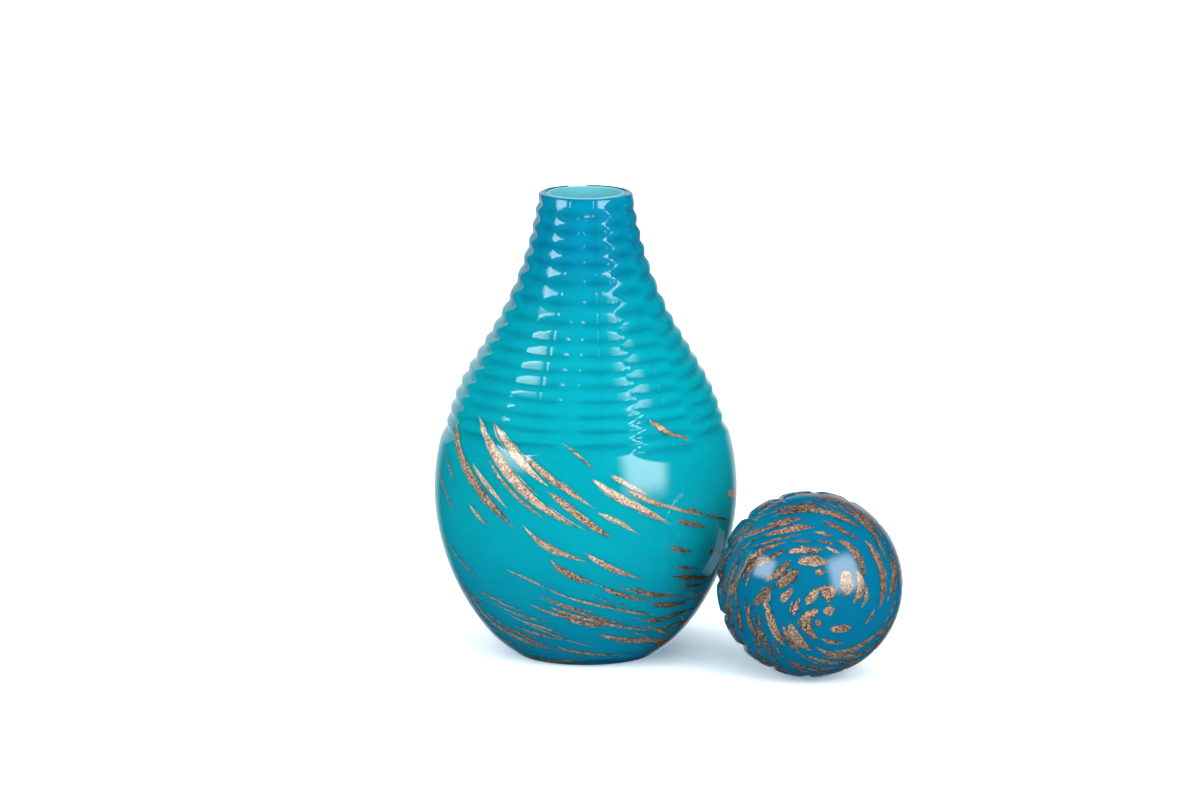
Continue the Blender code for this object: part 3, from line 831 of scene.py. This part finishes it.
def leaf(ends, breadth, tone, seat, rng, along=STROKE_ALONG, around=STROKE_AROUND):
    """A leaf-shaped chip on a curved seat: its points, as (along, round the edge), and its grain.

    The centre line is the parabola through three points. The half-breadth grows and falls as a
    power of a sine, which is rounder for a short chip, with a few waves for its raggedness. The
    chip is a thin lens: its two faces bulge by a sine of the turn round the edge. The grain is the
    way along and across in metres, and the chip's tone, which falls evenly from end to end.
    """
    start, middle, end = ends
    t = np.linspace(0, 1, along)[:, None]
    bend = 2 * middle - (start + end) / 2
    line = (1 - t) ** 2 * start + 2 * t * (1 - t) * bend + t ** 2 * end
    line = seat(line, 0.0)
    tangent = np.gradient(line, axis=0)
    normal = seat(line, NORMAL_PROBE) - line
    side = np.cross(normal, tangent)
    side /= np.linalg.norm(side, axis=1, keepdims=True)
    phase = rng.uniform(0, math.tau, 4)
    skew = rng.uniform(*STROKE_SKEWS)
    length = np.linalg.norm(end - start)
    fullness = np.interp(length / breadth, (1.0, LONG_ASPECT), (ROUND_FULLNESS, LONG_FULLNESS))
    shape = np.abs(np.sin(math.pi * t ** skew)) ** fullness
    waves = [size * np.sin(count * t + turn) for (count, size), turn in zip(RAGGED_WAVES, phase)]
    half = breadth / 2 * shape * (1 + STROKE_RAGGED_SHARE * sum(waves))
    turn = np.linspace(0, math.tau, around, endpoint=False)[None, :]
    across = np.cos(turn) * half
    points = line[:, None, :] + across[..., None] * side[:, None, :]
    lift = np.sin(turn) * STROKE_THICKNESS * np.minimum(shape, 1.0)
    # The tone is painted paler at the upper end and darker at the lower, as painted light from above
    tones = tone + TONE_FALL * (0.5 - t)
    grain = np.stack(np.broadcast_arrays(length * (t + phase[3]), across, tones), axis=-1)
    return seat(points, lift), grain


def stroke(ends, breadth, tone, seat, rng, slivers):
    """One drawn-out chip and the slivers that came off its edges, as a list of leaves.

    A sliver follows the parabola of the chip's centre line, moved aside by the half-breadth, which
    is a sine of the way along, and by a small gap.
    """
    leaves = [leaf(ends, breadth, tone, seat, rng)]
    start, middle, end = ends
    bend = middle - (start + end) / 2
    side = np.cross(seat(middle[None], NORMAL_PROBE)[0] - seat(middle[None], 0.0)[0], end - start)
    side /= np.linalg.norm(side)
    for sliver in range(slivers):
        length = rng.uniform(*SLIVER_LENGTH_SHARES)
        t = rng.uniform(-SLIVER_OVERSHOOT_SHARE, 1 + SLIVER_OVERSHOOT_SHARE - length)
        t = t + length * np.array((0.0, 0.5, 1.0))
        edge = SLIVER_EDGE_SHARE * np.sin(math.pi * np.clip(t, 0, 1)) + rng.uniform(*SLIVER_GAP_SHARES)
        aside = rng.choice((-1.0, 1.0)) * breadth * edge
        t = t[:, None]
        line = start + t * (end - start) + 4 * t * (1 - t) * bend + aside[:, None] * side
        thin = SLIVER_LEAST_BREADTH + rng.uniform(*SLIVER_BREADTH_SHARES) * breadth
        sliver_tone = np.clip(tone + rng.uniform(*SLIVER_TONE_SHIFTS), 0, 1)
        leaves.append(leaf(line, thin, sliver_tone, seat, rng, SLIVER_ALONG, SLIVER_AROUND))
    return leaves


def leaves_mesh(name, leaves):
    """All chips in one mesh: each is a tube of rings, closed at both ends, and carries its grain."""
    points = []
    grains = []
    quads = []
    triangles = []
    offset = 0
    for leaf_points, leaf_grain in leaves:
        inner = leaf_points[1:-1]
        count, around = inner.shape[:2]
        for kept, whole in ((points, leaf_points), (grains, leaf_grain)):
            kept.append(whole[1:-1].reshape(-1, 3))
            kept.append(whole[0].mean(axis=0)[None, :])
            kept.append(whole[-1].mean(axis=0)[None, :])
        grid = offset + np.arange(count * around).reshape(count, around)
        ahead = np.roll(grid, -1, axis=1)
        quads.append(np.stack((grid[:-1], grid[1:], ahead[1:], ahead[:-1]), axis=-1).reshape(-1, 4))
        tip = offset + count * around
        triangles.append(np.stack((np.full(around, tip), grid[0], ahead[0]), axis=-1))
        triangles.append(np.stack((np.full(around, tip + 1), ahead[-1], grid[-1]), axis=-1))
        offset = tip + 2
    mesh = face_mesh(name, np.concatenate(points), np.concatenate(quads), np.concatenate(triangles))
    grain = np.concatenate(grains).astype(np.float32)
    mesh.attributes.new("grain", "FLOAT_VECTOR", "POINT").data.foreach_set("vector", grain.ravel())
    return mesh


def bottle_seat(points, lift):
    """The stroke's surface in the casing, a little over the lining, and a lift along its normal."""
    return on_layer(points, CASING_WALL - STROKE_HOVER - lift)


stroke_facts = np.array(FRONT_STROKE_PIXELS, float)
stroke_ends = np.stack([seen_in_bottle(stroke_facts[:, i : i + 2]) for i in (0, 2, 4)], axis=1)
stroke_rng = np.random.default_rng(BACK_SEED)
bottle_leaves = []
for ends, facts in zip(stroke_ends, stroke_facts):
    breadth = BREADTH_SHARE * facts[6] * METRES_PER_PIXEL
    bottle_leaves += stroke(ends, breadth, facts[7], bottle_seat, stroke_rng, FRONT_SLIVERS)


def chip_ends(azimuth, height, length, lean):
    """Three points of a chip's centre line, which sinks by its lean as it goes round the bottle.

    Its ends rise a little, by the square of the way from the middle.
    """
    share = np.array((-0.5, 0.0, 0.5))
    radius = outline(height)[0]
    level = np.maximum(height - share * length * lean + CHIP_SAG * share ** 2, LOWEST_CHIP)
    return round_points(radius, level, azimuth + share * length / radius)


for i in range(BACK_STROKES):
    share = (i + stroke_rng.uniform(*BACK_PLACES)) / BACK_STROKES
    azimuth = BACK_FROM + share * (BACK_TO - BACK_FROM)
    height = stroke_rng.choice(BACK_HEIGHTS) + stroke_rng.uniform(*BACK_HEIGHT_SHIFTS)
    length = stroke_rng.uniform(*BACK_LENGTHS)
    ends = chip_ends(azimuth, height, length, stroke_rng.uniform(*BACK_LEANS))
    breadth = stroke_rng.uniform(*BACK_BREADTHS) * min(1.0, length / FULL_BREADTH_LENGTH)
    tone = stroke_rng.uniform(*BACK_TONES)
    bottle_leaves += stroke(ends, breadth, tone, bottle_seat, stroke_rng, BACK_SLIVERS)

for i in range(LOW_STREAKS):
    azimuth = (i + stroke_rng.uniform(0.0, 1.0)) / LOW_STREAKS * math.tau
    height = stroke_rng.uniform(*LOW_HEIGHTS)
    length = stroke_rng.uniform(*LOW_LENGTHS)
    ends = chip_ends(azimuth, height, length, stroke_rng.uniform(*LOW_LEANS))
    breadth = stroke_rng.uniform(*LOW_BREADTHS)
    tone = stroke_rng.uniform(*LOW_TONES)
    bottle_leaves += stroke(ends, breadth, tone, bottle_seat, stroke_rng, LOW_STREAK_SLIVERS)

strokes_mesh = leaves_mesh("bronze_strokes", bottle_leaves)

GLITTER_PALE = (0.95, 0.68, 0.50)
GLITTER_MAIN = (0.38, 0.190, 0.110)
GLITTER_DARK = (0.040, 0.036, 0.026)
GLITTER_STOPS = ((0.12, GLITTER_DARK), (0.45, GLITTER_MAIN), (0.90, GLITTER_PALE))
GLITTER_METAL = 0.40
GLITTER_ROUGHNESS = 0.45
GLITTER_OFFSET = -0.26
TONE_WEIGHT = 0.62
STREAK_WEIGHT = 0.38
PLATE_WEIGHT = 0.54
PLATES_PER_METRE = 1500.0
PLATE_TILT = 0.8
STREAK_DETAIL = 3.0

# Streaks in a metre along the chip and across it, and in a whole step of its tone
STREAK_COUNTS = (110.0, 1100.0, 29.0)


def glitter_glass(name):
    """Copper-glitter glass: a packed mass of tiny bright plates, drawn out into streaks.

    Its colour is a ramp of a weighted sum of the chip's tone, a noise that is stretched along the
    chip, and one random number for each plate. The plate's random colour, less its middle, also
    tilts it.
    """
    material, tree, shader = new_finish(name)
    place = shader_node(tree, "TexCoord", {})["Object"]
    grain = shader_node(tree, "Attribute", {}, attribute_name="grain")["Vector"]
    tone = shader_node(tree, "SeparateXYZ", {0: grain})["Z"]
    drawn = shader_node(tree, "VectorMath", {0: grain, 1: STREAK_COUNTS}, operation="MULTIPLY")["Vector"]
    streaks = shader_node(tree, "TexNoise", {"Vector": drawn, "Scale": 1.0, "Detail": STREAK_DETAIL})["Fac"]
    plates = shader_node(tree, "TexVoronoi", {"Vector": place, "Scale": PLATES_PER_METRE})["Color"]
    chance = shader_node(tree, "SeparateColor", {"Color": plates})["Red"]
    total = GLITTER_OFFSET
    for source, weight in ((tone, TONE_WEIGHT), (streaks, STREAK_WEIGHT), (chance, PLATE_WEIGHT)):
        total = shader_node(tree, "Math", {0: source, 1: weight, 2: total}, operation="MULTIPLY_ADD")[0]
    lean = shader_node(tree, "VectorMath", {0: plates, 1: (0.5, 0.5, 0.5)}, operation="SUBTRACT")["Vector"]
    tilt = shader_node(tree, "VectorMath", {0: lean, "Scale": PLATE_TILT}, operation="SCALE")["Vector"]
    surface = shader_node(tree, "NewGeometry", {})["Normal"]
    tilted = shader_node(tree, "VectorMath", {0: surface, 1: tilt}, operation="ADD")["Vector"]
    feed(tree, shader, {
        "Base Color": color_ramp(tree, total, GLITTER_STOPS),
        "Metallic": GLITTER_METAL,
        "Roughness": GLITTER_ROUGHNESS,
        "Normal": shader_node(tree, "VectorMath", {0: tilted}, operation="NORMALIZE")["Vector"],
    })
    return material


glitter = glitter_glass("bronze glitter glass")
piece("bronze_strokes", strokes_mesh, glitter, "bottle", [])


# Ball stopper: where it lies
# The stopper lies on its side next to the bottle, with the smooth pole of the ball towards the
# front. Its shapes are worked out round their own axis and then turned into this place.
BALL_LOW, BALL_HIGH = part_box("stopper_casing")
BALL_RADIUS = (BALL_HIGH.z - BALL_LOW.z) / 2
POLE_TURN = math.radians(11.7)
POLE_RISE = math.radians(9.7)
BALL_BEARING = math.radians(-26.6)
BALL_STANDOFF = 0.0019
BALL_REACH = BELLY_RADIUS + BALL_STANDOFF + BALL_RADIUS
BALL_CENTRE = np.array((
    BALL_REACH * math.cos(BALL_BEARING), BALL_REACH * math.sin(BALL_BEARING), BALL_RADIUS,
))
level_axis = np.array((math.cos(POLE_TURN), math.sin(POLE_TURN), 0.0))
level_pole = np.array((math.sin(POLE_TURN), -math.cos(POLE_TURN), 0.0))
pole = math.cos(POLE_RISE) * level_pole + math.sin(POLE_RISE) * np.array((0.0, 0.0, 1.0))
BALL_AXES = np.stack((level_axis, np.cross(pole, level_axis), pole))


def in_place(points):
    """Points of the stopper's own frame, turned and moved to where the stopper lies."""
    return points @ BALL_AXES + BALL_CENTRE


# Clear casing of the ball
# A gather of clear glass round the opal ball, polished smooth at the pole and wheel-cut over
# the side where the peg comes out, in sixteen columns of the same lens cuts as the bottle's.
BALL_COLUMNS = 16
BALL_COLUMN = math.tau / BALL_COLUMNS
BALL_ROWS = 7
BALL_CUT_TOP = math.radians(13)
BALL_CUT_BOTTOM = math.radians(-58)
BALL_ROW = (BALL_CUT_TOP - BALL_CUT_BOTTOM) / BALL_ROWS
BALL_WALL = 0.0030
BALL_LEAST_DEPTH = 0.0011
BALL_REACH_SHARE = 1.20
BALL_SEAM_TURN = math.radians(6.7)
BALL_SHADE_FULLNESS = 1.6
BALL_SHADE_TAPER = 0.7
BALL_SPINE_DEPTH = 0.0017
BALL_SPINE_HALF_WIDTH = 0.0032
BALL_SPINE_TIP = math.radians(21)
BALL_SPINE_FOOT = 0.05
PEG_RADIUS = 0.0179
PEG_SEAT_GAP = 0.0002


def ball_cuts(latitude, longitude):
    """Depth of the cuts and grooves under the ball's surface, and their painted shade, as on the bottle.

    The shade narrows towards a cut's tips by a power of the cut's own fullness.
    """
    longitude = longitude - BALL_SEAM_TURN
    column = np.floor(longitude / BALL_COLUMN)
    row = np.floor((BALL_CUT_TOP - latitude) / BALL_ROW)
    total = 1.0
    shade = 0.0
    for aside in (-1, 0, 1):
        turn = longitude - (column + aside + 0.5) * BALL_COLUMN
        share = 1 - (turn / (BALL_REACH_SHARE * BALL_COLUMN / 2)) ** 2
        for step in (-1, 0, 1):
            number = row + step
            middle = BALL_CUT_TOP - (number + 0.5) * BALL_ROW
            chord = BALL_RADIUS * np.cos(middle) ** 2
            chord = chord * (1 - math.cos(CHORD_SHARE * BALL_COLUMN / 2))
            along = np.abs(latitude - middle) * BALL_RADIUS
            full = np.clip(share, 0, 1) ** LENS_FULLNESS
            depth = np.hypot(chord, BALL_LEAST_DEPTH) * full - FLANK_RISE * along
            real = (number >= 0) & (number < BALL_ROWS) & (share > 0)
            total = total + np.exp(np.where(real, depth, NO_CUT) / RIDGE_ROUNDING)
            near = BALL_SHADE_FULLNESS * (full ** BALL_SHADE_TAPER - along / VALLEY_SHADE_WIDTH)
            shade = np.maximum(shade, np.where(real, near, 0))
    place = 2 * (longitude / BALL_COLUMN - column) - 1
    aside = np.abs(place) * BALL_COLUMN / 2 * BALL_RADIUS * np.cos(latitude)
    fade = np.clip((BALL_SPINE_TIP - latitude) / BALL_SPINE_TIP, 0, 1)
    fade = fade * np.clip((latitude - BALL_CUT_BOTTOM) / BALL_SPINE_FOOT, 0, 1)
    groove = fade - aside / BALL_SPINE_HALF_WIDTH
    depth = np.maximum(RIDGE_ROUNDING * np.log(total), BALL_SPINE_DEPTH * groove)
    spine_shade = (1 - aside / SPINE_HALF_WIDTH) * (groove > 0)
    return depth, np.clip(np.maximum(shade, spine_shade), 0, 1)


BALL_STEP_SHARES = (0.04, 0.08, 0.14, 0.24, 0.34, 0.44, 0.54, 0.64, 0.74, 0.83, 0.91, 0.965)
BALL_RINGS_PER_ROW = 8
BALL_HOLE_RINGS = 4
BALL_CAP_RINGS = 55
BALL_INNER_RINGS = 34

longitudes = BALL_SEAM_TURN + BALL_COLUMN * column_turns(column_steps(BALL_STEP_SHARES), BALL_COLUMNS)
peg_hole = PEG_RADIUS + PEG_SEAT_GAP
hole_latitude = -math.acos(peg_hole / BALL_RADIUS)
cut_rows = np.arange(BALL_ROWS * BALL_RINGS_PER_ROW + 1) / BALL_RINGS_PER_ROW
latitudes = np.concatenate((
    np.linspace(hole_latitude, BALL_CUT_BOTTOM, BALL_HOLE_RINGS + 1)[:-1],
    (BALL_CUT_TOP - cut_rows * BALL_ROW)[::-1],
    np.linspace(BALL_CUT_TOP, math.pi / 2, BALL_CAP_RINGS + 1)[1:],
))[:, None]
ball_depth, ball_shade = ball_cuts(latitudes, longitudes[None, :])
ball_depth[-1] = 0.0
core_radius = BALL_RADIUS - BALL_WALL - FUSED_OVERLAP
core_hole = -math.acos(peg_hole / core_radius)
inner_latitudes = np.linspace(math.pi / 2, core_hole, BALL_INNER_RINGS)[:, None]


def ball_points(radius, latitude, longitude):
    """Points of the stopper's own frame from their distance to the ball's centre and two angles."""
    return round_points(radius * np.cos(latitude), radius * np.sin(latitude), longitude)


def shell_mesh(name, outer, inner, smooth_angle):
    """A ball's wall: an outer cap and an inner cap, each closed at its pole, joined at the hole."""
    around = outer.shape[1]
    outer_count = outer.shape[0] - 1
    inner_count = inner.shape[0] - 1
    points = np.concatenate((
        outer[:-1].reshape(-1, 3), outer[-1, :1], inner[0, :1], inner[1:].reshape(-1, 3),
    ))
    out_grid = np.arange(outer_count * around).reshape(outer_count, around)
    out_pole = outer_count * around
    in_pole = out_pole + 1
    in_grid = in_pole + 1 + np.arange(inner_count * around).reshape(inner_count, around)
    quads = []
    bands = ((out_grid[:-1], out_grid[1:]), (in_grid[:-1], in_grid[1:]), (in_grid[-1:], out_grid[:1]))
    for low, high in bands:
        low_ahead = np.roll(low, -1, axis=1)
        high_ahead = np.roll(high, -1, axis=1)
        quads.append(np.stack((low, low_ahead, high_ahead, high), axis=-1).reshape(-1, 4))
    top = np.stack((out_grid[-1], np.roll(out_grid[-1], -1), np.full(around, out_pole)), axis=-1)
    under = np.stack((np.full(around, in_pole), np.roll(in_grid[0], -1), in_grid[0]), axis=-1)
    triangles = np.concatenate((top, under))
    return face_mesh(name, in_place(points), np.concatenate(quads), triangles, smooth_angle)


BALL_ROUGHNESS = 0.02

outer_points = ball_points(BALL_RADIUS - ball_depth, latitudes, longitudes[None, :])
inner_points = ball_points(core_radius, inner_latitudes, longitudes[None, :])
ball_mesh = shell_mesh("clear_ball_casing", outer_points, inner_points, CUT_EDGE)
# Share of painted shade over the ball's valleys and spine grooves, as on the bottle
shades = np.zeros(len(ball_mesh.vertices), np.float32)
shades[:ball_shade[:-1].size] = ball_shade[:-1].ravel()
mark(ball_mesh, "valley", shades)
ball_glass = clear_glass("polished clear stopper glass", CLEAR_GLASS, BALL_ROUGHNESS, PAINTED_VALLEY_SHADE)
piece("clear_ball_casing", ball_mesh, ball_glass, "stopper", ["stopper_casing"])


# Opal core of the ball
# A ball of opaque turquoise glass, with a flat where the peg is joined to it. The clear casing
# was gathered over it hot, so the two are fused all over.
CORE_SHOWN_RADIUS = BALL_RADIUS - BALL_WALL
CORE_STEPS = 128
CORE_RINGS = 72
OPAL_BALL = (0.0, 0.165, 0.300)
OPAL_BALL_TOP = (0.0, 0.21, 0.37)

core_flat = -math.acos(PEG_RADIUS / CORE_SHOWN_RADIUS)
core_latitudes = np.linspace(core_flat, math.pi / 2, CORE_RINGS)
core_turns = np.linspace(0, math.tau, CORE_STEPS, endpoint=False)[None, :]
core_radii = np.concatenate(((0.0,), CORE_SHOWN_RADIUS * np.cos(core_latitudes[:-1]), (0.0,)))
core_levels = CORE_SHOWN_RADIUS * np.sin(np.concatenate((core_latitudes[:1], core_latitudes)))
core_points = round_points(core_radii[:, None], core_levels[:, None], core_turns)
core_mesh = turned_mesh("opal_core", in_place(core_points))
# The core is painted lighter towards its top, as painted light from above
core_glass = opal_glass("opaque turquoise stopper glass", ((0.0, OPAL_BALL), (0.5, OPAL_BALL_TOP)))
piece("opal_core", core_mesh, core_glass, "stopper", ["stopper_core"])


# Bronze strokes in the ball
# The same copper-glitter chips, thick round the ball and drawn into a swirl round its pole by
# the last twist of the gather. Near the pole they stay short and round.
BALL_STROKE_HOVER = 0.0005

# Photograph pixels, read off as for the bottle's strokes but without a tone
BALL_STROKE_PIXELS = (
    (798, 563, 812, 561, 828, 563, 10.5), (815, 572, 820, 572, 825, 572, 5.5),
    (788, 552, 805, 550, 824, 550, 7), (764, 536, 787, 530, 815, 527, 7.5),
    (767, 525, 784, 521, 804, 519, 6), (797, 510, 833, 514, 861, 529, 7.5),
    (756, 546, 779, 539, 804, 534, 3), (748, 561, 763, 550, 787, 542, 5),
    (754, 566, 767, 560, 786, 550, 6), (764, 582, 779, 572, 791, 560, 7),
    (777, 587, 787, 579, 799, 570, 10.5), (781, 601, 787, 595, 793, 588, 7.5),
    (790, 613, 791, 606, 793, 601, 2), (793, 615, 796, 606, 800, 598, 5),
    (806, 605, 812, 596, 821, 587, 8), (821, 593, 829, 592, 837, 592, 14),
    (845, 570, 847, 583, 846, 596, 14.5), (856, 570, 861, 587, 853, 603, 9),
    (867, 587, 866, 598, 861, 608, 4), (838, 540, 856, 553, 865, 577, 9),
    (863, 539, 881, 567, 879, 610, 10.5), (870, 529, 881, 546, 887, 563, 4),
    (894, 560, 892, 582, 887, 603, 4), (823, 611, 829, 611, 835, 611, 9),
    (830, 629, 840, 629, 851, 629, 9), (819, 610, 805, 623, 819, 640, 10.5),
    (816, 620, 819, 624, 819, 627, 5.5), (822, 639, 832, 642, 844, 643, 4.5),
    (790, 623, 798, 640, 812, 650, 10.5), (835, 651, 856, 648, 880, 630, 7.5),
    (815, 646, 840, 656, 875, 648, 6), (753, 606, 763, 596, 773, 585, 8),
    (764, 609, 767, 599, 770, 591, 5.5), (767, 606, 773, 627, 784, 646, 10),
    (783, 626, 790, 640, 798, 653, 7), (738, 609, 739, 622, 742, 634, 6),
    (749, 606, 749, 620, 756, 636, 6), (760, 626, 765, 641, 773, 657, 5.5),
    (740, 540, 752, 533, 765, 529, 5.5), (746, 522, 756, 518, 767, 515, 3.5),
    (777, 514, 791, 513, 802, 512, 3.5), (784, 507, 798, 505, 811, 504, 4),
    (822, 521, 840, 529, 859, 540, 5.5), (814, 532, 823, 533, 833, 536, 3.5),
    (817, 540, 826, 542, 836, 545, 3), (825, 547, 833, 550, 841, 554, 3),
    (791, 542, 801, 541, 812, 542, 2), (812, 493, 840, 500, 866, 516, 8.5),
    (874, 609, 870, 618, 864, 625, 3.5), (807, 655, 826, 662, 847, 662, 5.5),
    (722, 564, 727, 559, 731, 553, 5), (722, 577, 724, 587, 725, 596, 4),
)
BALL_SLIVERS = 2
BALL_TONE = 0.36
BALL_TONE_FALL = 0.40
BALL_TONE_SHIFTS = (-0.15, 0.15)

# The finer swirl between and behind them, drawn by a seeded hand
SWIRL_SEED = 21
SWIRL_STROKES = 480
SWIRL_TOP = math.radians(38)
SWIRL_BOTTOM = math.radians(-56)
SWIRL_LENGTHS = (0.008, 0.028)
SWIRL_LEANS = (0.15, 0.70)
SWIRL_BREADTHS = (0.0008, 0.0024)
SWIRL_TONES = (0.05, 0.32)


def meet_sphere(origins, rays, radius):
    """Where each ray first comes within a radius of the ball's centre, by the square root rule."""
    b = (origins * rays).sum(axis=1)
    c = (origins ** 2).sum(axis=1) - radius ** 2
    reach = -b - np.sqrt(np.maximum(b * b - c, 0.0))
    return origins + reach[:, None] * rays


def seen_in_ball(pixels):
    """Points over the ball's core that show at these pixels, with the casing's bending counted."""
    rays = pixel_rays(pixels)
    origins = np.repeat((CAMERA_PLACE - BALL_CENTRE)[None, :], len(rays), axis=0)
    entry = meet_sphere(origins, rays, BALL_RADIUS)
    normals = entry / np.linalg.norm(entry, axis=1, keepdims=True)
    inside_rays = refracted(rays, normals, GLASS_IOR)
    return meet_sphere(entry, inside_rays, CORE_SHOWN_RADIUS + BALL_STROKE_HOVER)


def ball_seat(points, lift):
    """The stroke's sphere in the ball's casing, with a lift outwards. Points are from its centre."""
    wanted = CORE_SHOWN_RADIUS + BALL_STROKE_HOVER + lift
    return points * (wanted / np.linalg.norm(points, axis=-1))[..., None]


ball_facts = np.array(BALL_STROKE_PIXELS, float)
ball_ends = np.stack([seen_in_ball(ball_facts[:, i : i + 2]) for i in (0, 2, 4)], axis=1)
swirl_rng = np.random.default_rng(SWIRL_SEED)
ball_leaves = []
for ends, facts in zip(ball_ends, ball_facts):
    # Chips are painted darker away from the pole, towards the ball's sides, as painted shade
    toward_pole = (ends[1] @ pole) / np.linalg.norm(ends[1])
    tone = BALL_TONE - BALL_TONE_FALL * (1 - toward_pole) + swirl_rng.uniform(*BALL_TONE_SHIFTS)
    breadth = facts[6] * METRES_PER_PIXEL
    ball_leaves += stroke(ends, breadth, np.clip(tone, 0, 1), ball_seat, swirl_rng, BALL_SLIVERS)

for i in range(SWIRL_STROKES):
    share = (i + swirl_rng.uniform(0.0, 1.0)) / SWIRL_STROKES
    level = math.sin(SWIRL_TOP) + share * (math.sin(SWIRL_BOTTOM) - math.sin(SWIRL_TOP))
    latitude = math.asin(level)
    longitude = swirl_rng.uniform(0, math.tau)
    length = swirl_rng.uniform(*SWIRL_LENGTHS)
    lean = swirl_rng.uniform(*SWIRL_LEANS)
    along = np.array((-0.5, 0.0, 0.5)) * length
    turn = longitude - along * math.cos(lean) / (BALL_RADIUS * math.cos(latitude))
    rise = latitude + along * math.sin(lean) / BALL_RADIUS
    ends = ball_points(BALL_RADIUS, rise, turn) @ BALL_AXES
    breadth = swirl_rng.uniform(*SWIRL_BREADTHS)
    tone = swirl_rng.uniform(*SWIRL_TONES)
    ball_leaves.append(leaf(ends, breadth, tone, ball_seat, swirl_rng, SLIVER_ALONG, SLIVER_AROUND))

ball_leaves = [(points + BALL_CENTRE, grain) for points, grain in ball_leaves]
ball_strokes_mesh = leaves_mesh("bronze_swirl", ball_leaves)
piece("bronze_swirl", ball_strokes_mesh, glitter, "stopper", [])


# Peg of the stopper
# A plug of clear glass, joined to the core and ground to fit the bottle's bore. The grinding
# leaves it matt, and its end has a small bevel.
PEG_LENGTH = 0.024
PEG_TAPER = 0.0012
PEG_BEVEL = 0.0010
PEG_STEPS = 128
PEG_RINGS = 10
PEG_ROUGHNESS = 0.45
# The peg's colour is the ground glass's own pale tint, painted darker as painted shade, since the peg lies
# in the ball's shadow
SHADED_GROUND_GLASS = (0.33, 0.51, 0.58)

peg_root = -math.sqrt(CORE_SHOWN_RADIUS ** 2 - PEG_RADIUS ** 2) + FUSED_OVERLAP
peg_face = -math.sqrt(BALL_RADIUS ** 2 - PEG_RADIUS ** 2)
peg_end = peg_face - PEG_LENGTH
taper = np.linspace(0, 1, PEG_RINGS)
side_levels = peg_face + taper * (peg_end + PEG_BEVEL - peg_face)
side_radii = PEG_RADIUS - PEG_TAPER * taper
peg_radii = np.concatenate(((0.0, side_radii[-1] - PEG_BEVEL), side_radii[::-1], (PEG_RADIUS, 0.0)))
peg_levels = np.concatenate(((peg_end, peg_end), side_levels[::-1], (peg_root, peg_root)))
peg_turns = np.linspace(0, math.tau, PEG_STEPS, endpoint=False)[None, :]
peg_points = in_place(round_points(peg_radii[:, None], peg_levels[:, None], peg_turns))
peg_mesh = turned_mesh("ground_peg", peg_points, CUT_EDGE)
peg_glass = clear_glass("fine-ground peg glass", SHADED_GROUND_GLASS, PEG_ROUGHNESS)
piece("ground_peg", peg_mesh, peg_glass, "stopper", ["stopper_peg"])
